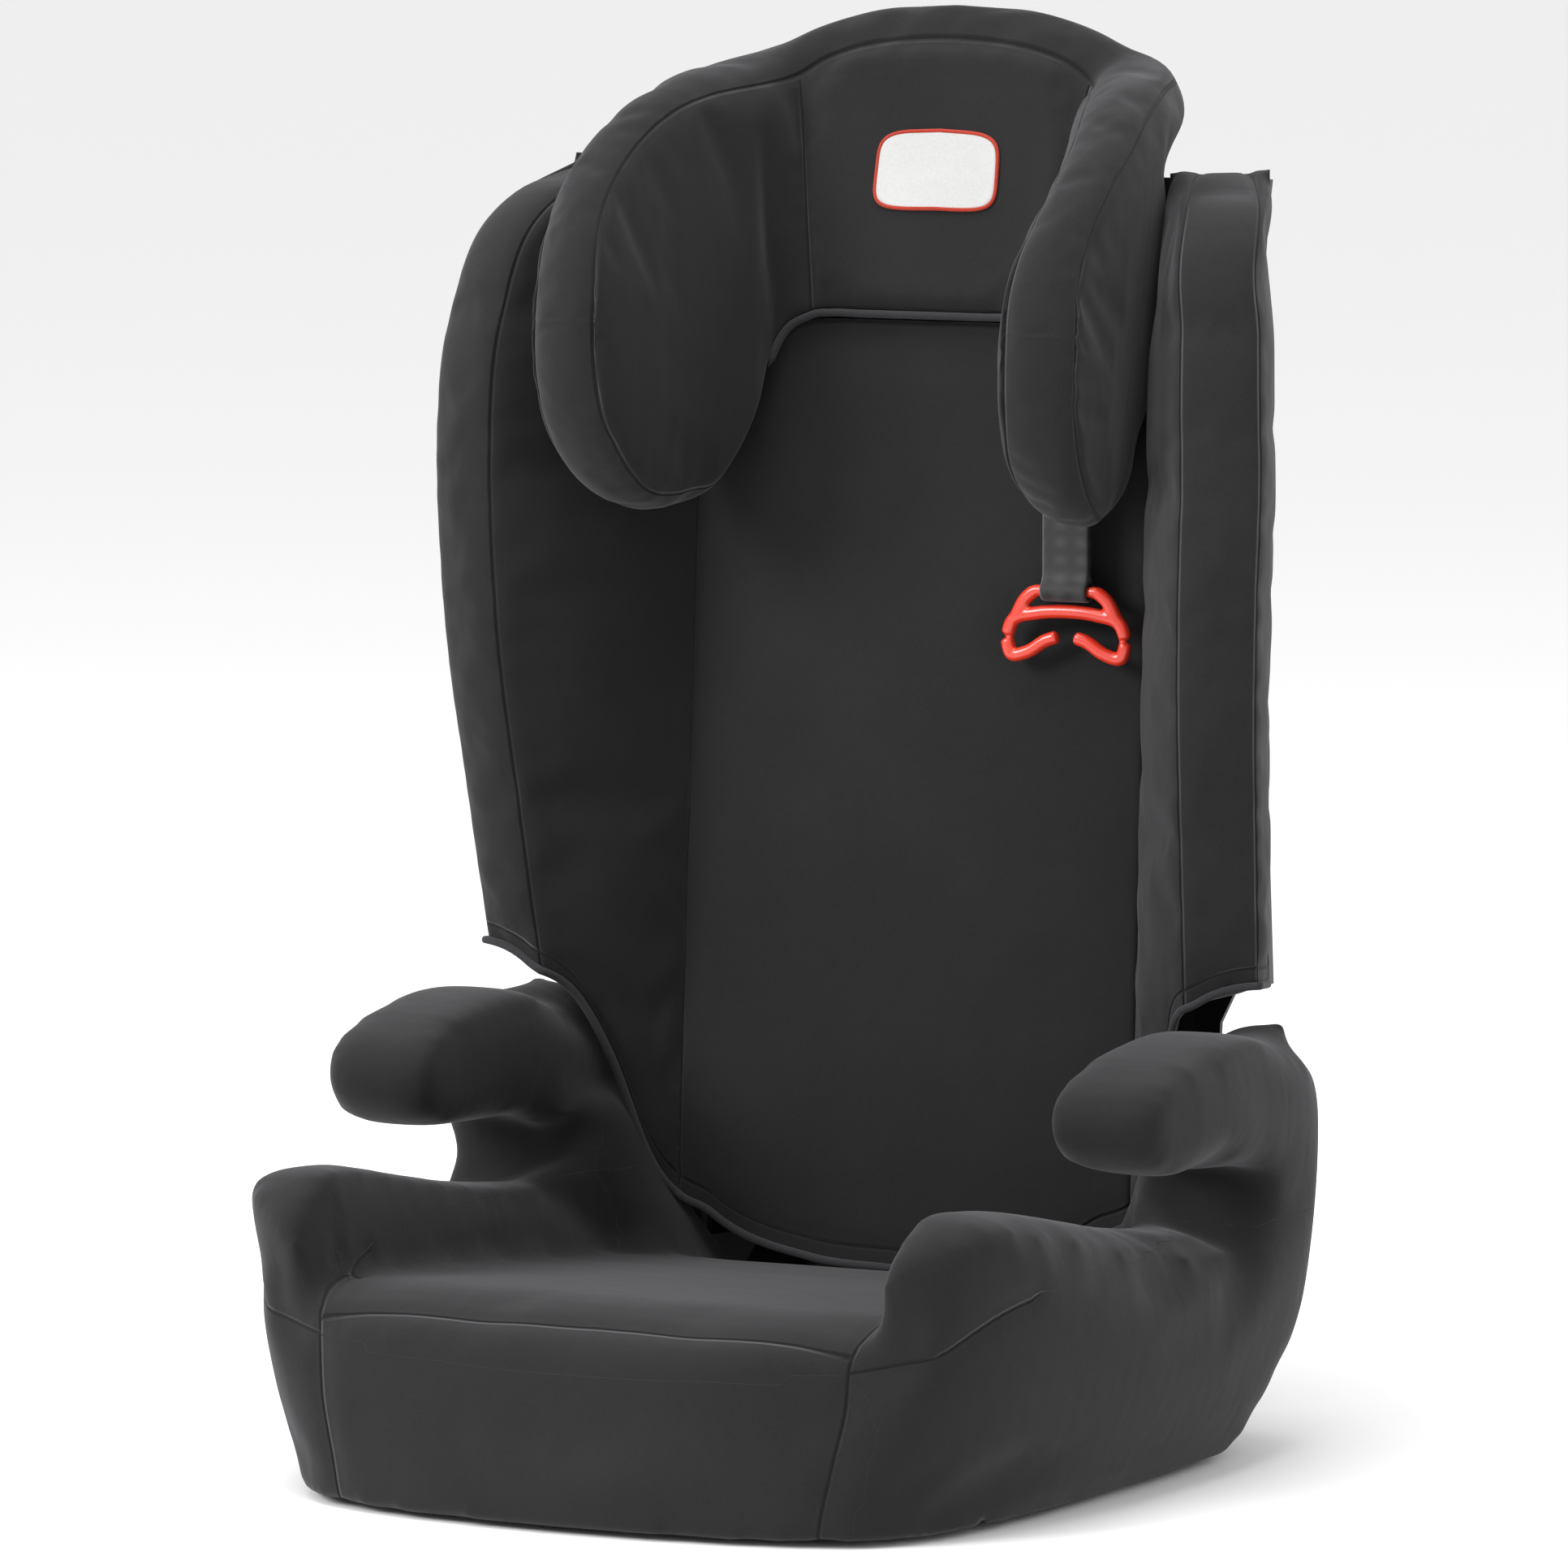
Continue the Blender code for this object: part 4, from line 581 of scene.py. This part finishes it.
def build_wing(side, name, replaced):
    """A closed pad: its front face runs panel seam, front seam, outer seam, rear edge; its hidden face
    joins the same two edges along the shell; both meet under the hem and in the rounded top."""
    spans = (24, 11, 16)
    q = np.concatenate([np.linspace(k, k + 1, n, endpoint=k == 2) for k, n in enumerate(spans)])[:, None]
    low = hem_under(q)
    top = BACK_TOP + 0.003 * np.clip((q - 1.5) / 1.5, 0, 1)
    z, apart = upright_rows(low, top, 0.020, 64)
    q = q + 0 * z
    corners = wing_section(z)
    front = path_point(corners[:4], q)
    hidden = path_point([corners[0], corners[5], corners[4], corners[3]], q)
    middle = 0.35 * front + 0.65 * hidden
    sheets = []
    for sheet in (front, hidden):
        placed = middle + (sheet - middle) * apart[..., None]
        sheets.append(leaned(np.stack([side * placed[..., 0], placed[..., 1], z], -1)))
    calm = np.clip((z - low) / 0.03, 0, 1) ** 0.7 * apart
    puff = calm * np.select([q < 1, q < 2], [0.0045 * arch(q, 0.8), 0.0035 * arch(q - 1, 0.8)],
                            0.003 * arch(q - 2))
    across = np.cumsum(np.linalg.norm(np.diff(front, axis=0, prepend=front[:1]), axis=-1), axis=0)
    seams = np.stack([across - across[spans[0]], across - across[spans[0] + spans[1]],
                      z - low - HEM_STITCH], -1)
    under = (z - low < HEM_RADIUS)[..., None]
    none = np.full(z.shape + (3,), FAR)
    wing = skin(name, [(sheets[0], puff, np.where(under, FAR, seams)), (sheets[1], 0 * z, none)])
    relax(wing.data, 2, 0.5 * np.clip(get_attribute(wing.data, "puff", 1) / 0.0012, 0, 1))
    held = (seam_distance(wing.data) < HELD_SEAM) | (get_attribute(wing.data, "puff", 1) < 1e-6)
    plump(wing, held, 2.5, 0.003, 0.008)
    crease(wing.data, 0.0012, 0.0035)
    refined(wing, 1)
    return finish_with(wing, COVER, "backrest", replaced)


def build_panel():
    """The centre pad: front and rear sheets between the panel seams, from the hem to its top."""
    reach = PANEL_EDGE + 0.0025
    x = reach * (2 * eased(57, 1.3)[:, None] - 1)
    low = read(HEM, np.abs(x))
    z, apart = upright_rows(low, PANEL_TOP, 0.006, 84)
    x = x + 0 * z
    apart = apart * rounded(reach - np.abs(x), 0.003)
    middle = PANEL_REAR + 0.5 * (PANEL_FRONT - PANEL_REAR)
    sheets = [leaned(np.stack([x, middle + (y - middle) * apart, z], -1))
              for y in (PANEL_FRONT - 0.0008, PANEL_REAR)]
    across = 1 - (x / reach) ** 2
    up = np.clip((z - low) / 0.05, 0, 1) * np.clip((PANEL_TOP - z) / 0.03, 0, 1)
    none = np.full(z.shape + (3,), FAR)
    hem = none.copy()
    hem[..., 2] = np.where(z - low < HEM_RADIUS, FAR, z - low - HEM_STITCH)
    puff = 0.0045 * across**0.7 * up**0.7
    panel = skin("backrest_panel", [(sheets[0], puff, hem), (sheets[1], 0 * z, none)])
    crease(panel.data, 0.0010, 0.0035)
    refined(panel, 1)
    return finish_with(panel, COVER, "backrest", ("back_foam",))


def build_hem_piping():
    """A cord that follows the hem from one outer side to the other, just under its front edge."""
    reach = np.linspace(-1, 1, 301)
    q = np.interp(np.abs(reach), [0, 0.42, 0.72, 0.86, 1.0], [-1, 0, 1, 2, 2.9])
    wing_q = np.clip(q, 0, 2.99)
    wing = path_point(wing_section(hem_under(wing_q))[:4], wing_q)
    x = np.where(q < 0, PANEL_EDGE * (1 + q), wing[..., 0])
    y = np.where(q < 0, PANEL_FRONT - 0.0008, wing[..., 1])
    path = np.stack([x * np.sign(reach), y - 0.0012, read(HEM, x) + 0.0020], -1)
    cord = sweep("back_hem_piping", leaned(path), PIPING_RADIUS, PIPING_RADIUS)
    return finish_with(cord, PIPING, "backrest", ("back_piping",))


# ---------------------------------------------------------------- base
FRONT_SEAM = [(0.000, 0.1245), (0.010, 0.126), (0.065, 0.137), (0.093, 0.1395), (0.110, 0.1445),
              (0.140, 0.1470)]
SIDE_SEAM = [(-0.250, 0.062), (-0.216, 0.077), (-0.193, 0.088), (-0.163, 0.104), (-0.100, 0.118)]


def block_grid(rings):
    """A closed loft through equal rings, its ends drawn together to a point."""
    points = np.asarray(rings, float)
    points = np.concatenate([points, points[:, :1]], axis=1)
    low = np.repeat(points[:1].mean(1, keepdims=True), points.shape[1], 1)
    high = np.repeat(points[-1:].mean(1, keepdims=True), points.shape[1], 1)
    points = np.concatenate([low, points, high])
    return points, np.zeros(points.shape[:2]), np.full(points.shape, FAR)


# Filling blocks, as two corners each: under the seat, at its front, and then in the right arm, whose
# blocks are mirrored for the left one.
SEAT_BLOCKS = [((-.1405, -.188, .055), (.1405, .1225, .0650)),
               ((-.1405, -.188, .060), (.1405, -.05, .0800))]
ARM_BLOCKS = [((.1835, 0.098, 0.045), (.1965, 0.153, 0.162)),
              ((.1835, 0.080, 0.150), (.1965, 0.150, 0.174)),
              ((.1835, -0.030, 0.171), (.1965, 0.128, 0.188)),
              ((.1835, -0.022, 0.180), (.1965, 0.080, 0.203))]


def box_grid(low, high):
    """A plain filling block between two corners."""
    (x0, y0, z0), (x1, y1, z1) = low, high
    x0, x1 = sorted((x0, x1))
    ring = [(x0, y0), (x1, y0), (x1, y1), (x0, y1)]
    return block_grid([[(x, y, z) for x, y in ring] for z in (z0, z1)])


def tub_filling():
    """Fills the room that the plastic tub takes inside the cover, up to its sloped rear."""
    angle = np.linspace(0, 2 * np.pi, 73)[:-1]
    x = np.sign(np.cos(angle)) * np.abs(np.cos(angle)) ** 0.60
    y = -0.024 + 0.190 * np.sign(np.sin(angle)) * np.abs(np.sin(angle)) ** 0.60
    rings = []
    for z, wide in ((FLOOR_RIM + 0.0005, 0.178), (0.034, 0.192), (0.0625, 0.198)):
        limit = np.interp(z, [0.003, 0.034, 0.060], [0.092, 0.144, 0.152])
        rings.append(np.stack([wide * x, np.minimum(y, limit), np.full(x.shape, z)], -1))
    return block_grid(rings)


def rear_fillet(side):
    """Padding that fills the seat's rear corner, a little outside the curve of the backrest's hem."""
    profile = [(0.162, 0.056), (0.104, 0.056), (0.109, 0.074), (0.130, 0.096), (0.1425, 0.126),
               (0.150, 0.148), (0.162, 0.148)]
    return block_grid([[(side * x, y, z) for x, z in profile] for y in (0.112, 0.172)])


def arm_heel(side):
    """Padding that lifts the rear of an arm's top towards the wing's hem."""
    profile = [(0.070, 0.196), (0.110, 0.206), (0.150, 0.210), (0.150, 0.150), (0.070, 0.150)]
    rows = ((0.166, 0.014), (0.182, 0.002), (0.206, 0.0))
    return block_grid([[(side * x, y, z - drop) for y, z in profile] for x, drop in rows])


def base_seams(points):
    """Signed distances to the seams: the upright ones beside the front panel, the ones that climb the
    sides from them, and the one across the seat's front edge; pushed away where each has ended."""
    x, y, z = np.abs(points[:, 0]), points[:, 1], points[:, 2]
    upright = x - read(FRONT_SEAM, z)
    upright += np.sign(upright) * (np.clip((y + 0.165) / 0.01, 0, 1) + np.clip((z - 0.140) / 0.01, 0, 1)) * 0.03
    side = z - read(SIDE_SEAM, y)
    side += np.sign(side) * (np.clip((0.136 - x) / 0.005, 0, 1) + np.clip((y + 0.135) / 0.01, 0, 1)) * 0.03
    edge = y + 0.2035
    edge += np.sign(edge) * (np.clip((0.088 - z) / 0.004, 0, 1) + np.clip((x - 0.139) / 0.004, 0, 1)) * 0.03
    return np.stack([upright, side, edge], -1)


def inside_tub(points):
    """True for points in the plastic tub's own space, where the cover has no skin."""
    x, y, z = np.abs(points[:, 0]), points[:, 1], points[:, 2]
    rear = np.interp(z, [0.0, 0.003, 0.034, 0.060], [0.090, 0.0975, 0.1475, 0.1600])
    plan = (x / 0.182) ** 3.6 + (np.abs(y + 0.030) / 0.188) ** 3.6
    return ((z < 0.007) & (plan < 1)) | ((z < 0.058) & (y > rear - 0.006) & (x < 0.185))


def soften(mesh, rounds):
    """Relaxes the cover but hardly moves its lowest edge, which stays square on the floor."""
    relax(mesh, rounds, 0.5 * np.clip((places(mesh)[:, 2] - FLOOR_RIM) / 0.02, 0.08, 1))


def arms_drawn_out(points):
    """The arms' padded tips moved forwards and a little outwards, and the lower edge kept level."""
    tip = np.clip((points[:, 2] - 0.11) / 0.03, 0, 1) * np.clip((0.06 - points[:, 1]) / 0.06, 0, 1)
    points[:, 0] += 0.004 * np.sign(points[:, 0]) * tip
    points[:, 1] -= 0.007 * tip
    points[:, 2] = np.maximum(points[:, 2], FLOOR_RIM)
    return points


def build_base_cover():
    """The cover's solid, filled and remeshed to even cells, softened, blown up as cloth, then opened
    where the plastic tub shows and given its thickness."""
    mesh = NODES["base_cover"].data.copy()
    work = bmesh.new()
    work.from_mesh(mesh)
    bmesh.ops.remove_doubles(work, verts=work.verts, dist=1e-5)
    work.to_mesh(mesh)
    work.free()
    mesh.materials.clear()
    cover = mesh_object("base_padding", mesh)
    grids = [tub_filling()] + [box_grid(low, high) for low, high in SEAT_BLOCKS]
    for side in (-1, 1):
        grids += [rear_fillet(side), arm_heel(side)]
        mirror = np.array([side, 1, 1])
        grids += [box_grid(mirror * low, mirror * high) for low, high in ARM_BLOCKS]
    fillings = [skin("fill", [grid]) for grid in grids]
    with bpy.context.temp_override(active_object=cover, selected_editable_objects=[cover] + fillings):
        bpy.ops.object.join()
    remesh = cover.modifiers.new("remesh", "REMESH")
    remesh.mode = "VOXEL"
    remesh.voxel_size = COVER_CELL
    even = bpy.data.meshes.new_from_object(cover.evaluated_get(bpy.context.evaluated_depsgraph_get()))
    cover.modifiers.clear()
    cover.data = even
    soften(even, 8)
    put(even, places(even) + COVER_LIFT * directions(even))
    points = places(even)
    plump(cover, (points[:, 2] < 0.008) | inside_tub(points), 3.0, 0.006)
    soften(even, 4)
    put(even, arms_drawn_out(places(even)))
    work = bmesh.new()
    work.from_mesh(even)
    middles = np.array([face.calc_center_median() for face in work.faces])
    gone = inside_tub(middles)
    bmesh.ops.delete(work, geom=[face for face, out in zip(work.faces, gone) if out], context="FACES")
    work.to_mesh(even)
    work.free()
    set_attribute(even, "seams", base_seams(places(even)))
    crease(even, 0.0016, 0.005)
    even.shade_smooth()
    refined(cover, 1)
    wall = cover.modifiers.new("wall", "SOLIDIFY")
    wall.thickness = COVER_WALL
    wall.offset = -1
    return finish_with(cover, COVER, "base", ("base_cover", "seat_foam"))


# ---------------------------------------------------------------- belt guide and label
STRAP_X = 0.087
STRAP_Y = 0.145
BAR_Z = 0.412


def build_strap():
    """Webbing folded round the hook's bar: a flat tongue up to the wing and a loop, as one profile
    carried across the strap's width, with a doubled end sewn down."""
    angle = np.linspace(np.radians(60), np.radians(-240), 30)
    loop = np.stack([0.0046 * np.cos(angle), 0.0046 * np.sin(angle)], -1)
    rise = np.linspace(0.008, 0.079, 16)[:, None]
    front = np.concatenate([np.full_like(rise, -0.0008), rise], 1)[::-1]
    back = np.concatenate([np.full_like(rise[:6], 0.0008), rise[:6]], 1)
    line = np.concatenate([front, loop[::-1], back])
    line = np.stack([np.zeros(len(line)), STRAP_Y + line[:, 0], BAR_Z + line[:, 1]], -1)
    run = np.gradient(line, axis=0)
    run /= np.linalg.norm(run, axis=1)[:, None]
    normal = np.cross(run, [1.0, 0.0, 0.0])
    w = np.linspace(-1, 1, 21)
    half = 0.0125 * w
    thick = 0.00065 * rounded(1 - np.abs(w), 0.12, 2.0)
    faces = []
    for way in (-1, 1):
        grid = line[:, None] + normal[:, None] * (way * thick)[None, :, None]
        grid[..., 0] += STRAP_X + half
        faces.append(grid)
    grid = np.concatenate([faces[0], faces[1][:, ::-1]], axis=1)
    grid = np.concatenate([grid, grid[:, :1]], axis=1)
    ends = [np.repeat(grid[k:k + 1].mean(1, keepdims=True), grid.shape[1], 1) for k in (0, -1)]
    grid = np.concatenate([ends[0], grid, ends[1]])
    strap = skin("belt_guide_strap", [(grid, np.zeros(grid.shape[:2]), np.full(grid.shape, FAR))])
    return finish_with(strap, STRAP, "strap", ("belt_strap",))


def build_hook():
    """Bars swept along the hook's lines and melted together: crossbar, shoulders, arch, curled arms."""
    lines = [[(-0.0185, 0.0), (0.0, 0.0), (0.0185, 0.0)],
             [(-0.0320, -0.0235), (-0.0285, -0.0150), (-0.0160, -0.0112), (0.0, -0.0100), (0.0160, -0.0112),
              (0.0285, -0.0150), (0.0320, -0.0235)]]
    for side in (-1, 1):
        lines.append([(side * 0.0165, 0.0), (side * 0.0215, -0.0040), (side * 0.0270, -0.0135)])
        lines.append([(side * 0.0320, -0.0235), (side * 0.0290, -0.0318), (side * 0.0205, -0.0302),
                      (side * 0.0110, -0.0245), (side * 0.0040, -0.0222)])
    bars = []
    for index, line in enumerate(lines):
        rows = np.array(line)
        length = travelled(rows)
        fine = read(np.column_stack([length, rows]), np.linspace(0, length[-1], 40))
        path = np.stack([STRAP_X + fine[:, 0], np.full(40, STRAP_Y), BAR_Z + fine[:, 1]], -1)
        thick = 0.0028 if index == 0 else 0.0034
        bars.append(sweep("belt_guide_hook", path, thick, 0.0033))
    hook = bars[0]
    with bpy.context.temp_override(active_object=hook, selected_editable_objects=bars):
        bpy.ops.object.join()
    remesh = hook.modifiers.new("remesh", "REMESH")
    remesh.mode = "VOXEL"
    remesh.voxel_size = HOOK_CELL
    hook.data = bpy.data.meshes.new_from_object(hook.evaluated_get(bpy.context.evaluated_depsgraph_get()))
    hook.modifiers.clear()
    relax(hook.data, 6)
    hook.data.shade_smooth()
    return finish_with(hook, GUIDE, "hook", ("belt_hook",))


def label_grid(tree, lift):
    """A rounded rectangle laid on the head panel's cloth and lifted off it, in place."""
    a = np.linspace(0, 2 * np.pi, 97)[None]
    r = np.linspace(0, 1, 14)[:, None]
    x = 0.029 * r * np.sign(np.cos(a)) * np.abs(np.cos(a)) ** 0.42
    z = 0.019 * r * np.sign(np.sin(a)) * np.abs(np.sin(a)) ** 0.42
    t = 0.52 + z / 0.134
    flat = leaned(head_front(0.25 * x / (0.060 + 0.0185 * t), t))
    ahead = leaned([0.0, -1.0, 0.0]) - leaned([0.0, 0.0, 0.0])
    laid = [tree.ray_cast(Vector(point + 0.04 * ahead), Vector(-ahead))[0]
            for point in flat.reshape(-1, 3)]
    return np.array(laid).reshape(flat.shape) + lift * ahead


def build_label(head):
    """A plain woven patch and the stitched cord round its edge, on the finished cloth."""
    tree = BVHTree.FromObject(head, bpy.context.evaluated_depsgraph_get())
    proud, sunk = label_grid(tree, 0.0012), label_grid(tree, -0.0005)
    none = np.full(proud.shape, FAR)
    patch = skin("label_cloth", [(proud, 0 * proud[..., 0], none),
                                 (np.stack([proud[-1], sunk[-1]]), np.zeros((2, 97)), none[:2]),
                                 (sunk, 0 * sunk[..., 0], none)])
    finish_with(patch, PATCH, "headrest", ("label_patch",))
    rim = sweep("label_edge", label_grid(tree, 0.0006)[-1][:-1], 0.0010, 0.0010, closed=True)
    finish_with(rim, EDGE, "headrest")


# ---------------------------------------------------------------- finishes of the kept nodes
KEPT = {SHELL: ("base_shell", "back_shell", "head_shell"),
        SLIDER: ("height_rack", "head_carrier", "release_lever"),
        RUBBER: ("foot_front_left", "foot_front_right", "foot_rear_left", "foot_rear_right"),
        STEEL: ("hinge_bar", "hinge_clip_left", "hinge_clip_right", "guide_rod_left", "guide_rod_right",
                "rack_screw_lower", "rack_screw_upper", "carrier_screw_left", "carrier_screw_right", "lock_pin"),
        SPRING: ("lever_spring",)}


def paint_kept_nodes():
    for finish, names in KEPT.items():
        for name in names:
            NODES[name].data.materials.clear()
            NODES[name].data.materials.append(finish)


# ---------------------------------------------------------------- studio
def area_light(name, place, target, size, power, tint="#ffffff"):
    lamp = bpy.data.lights.new(name, "AREA")
    lamp.shape = "SQUARE"
    lamp.size = size
    lamp.energy = power
    lamp.color = linear(tint)[:3]
    made = bpy.data.objects.new(name, lamp)
    made.location = place
    made.rotation_euler = (Vector(target) - Vector(place)).to_track_quat("-Z", "Y").to_euler()
    bpy.context.scene.collection.objects.link(made)


def build_studio():
    floor_mesh = bpy.data.meshes.new("floor")
    floor_mesh.from_pydata([(-30, -30, 0), (30, -30, 0), (30, 30, 0), (-30, 30, 0)], [], [(0, 1, 2, 3)])
    floor = mesh_object("floor", floor_mesh)
    pale, _, shader = new_finish("matt_white_floor", 0.9, Specular_IOR_Level=0.1)
    shader.inputs["Base Color"].default_value = linear("#f4f4f4")
    floor_mesh.materials.append(pale)
    world = bpy.data.worlds.new("studio")
    world.use_nodes = True
    sky = world.node_tree.nodes["Background"]
    sky.inputs["Color"].default_value = linear("#ffffff")
    sky.inputs["Strength"].default_value = 0.95
    bpy.context.scene.world = world
    area_light("key", (-2.0, -2.8, 2.0), (0, 0, 0.35), 1.4, 120)
    area_light("fill", (2.8, -1.6, 1.2), (0, 0, 0.3), 1.6, 16)
    area_light("top", (0.0, -0.4, 2.8), (0, 0, 0.3), 1.6, 50)
    lens = bpy.data.cameras.new("camera")
    lens.lens = 251.55
    lens.sensor_width = 36
    lens.clip_end = 50
    camera = bpy.data.objects.new("camera", lens)
    place = Vector((2.288725, -4.682467, 0.894002))
    target = Vector((-0.0764, 0.166759, 0.307889))
    camera.location = place
    camera.rotation_euler = (target - place).to_track_quat("-Z", "Y").to_euler()
    bpy.context.scene.collection.objects.link(camera)
    bpy.context.scene.camera = camera
    bpy.context.scene.view_settings.view_transform = "Standard"


paint_kept_nodes()
head_piece = build_headrest()
build_head_piping()
for side, name, node_name in ((-1, "backrest_wing_left", "left_wing_foam"),
                              (1, "backrest_wing_right", "right_wing_foam")):
    replaced = (node_name, "back_cover") if side == 1 else (node_name,)
    build_wing(side, name, replaced)
build_panel()
build_hem_piping()
build_base_cover()
build_strap()
build_hook()
build_label(head_piece)
build_studio()
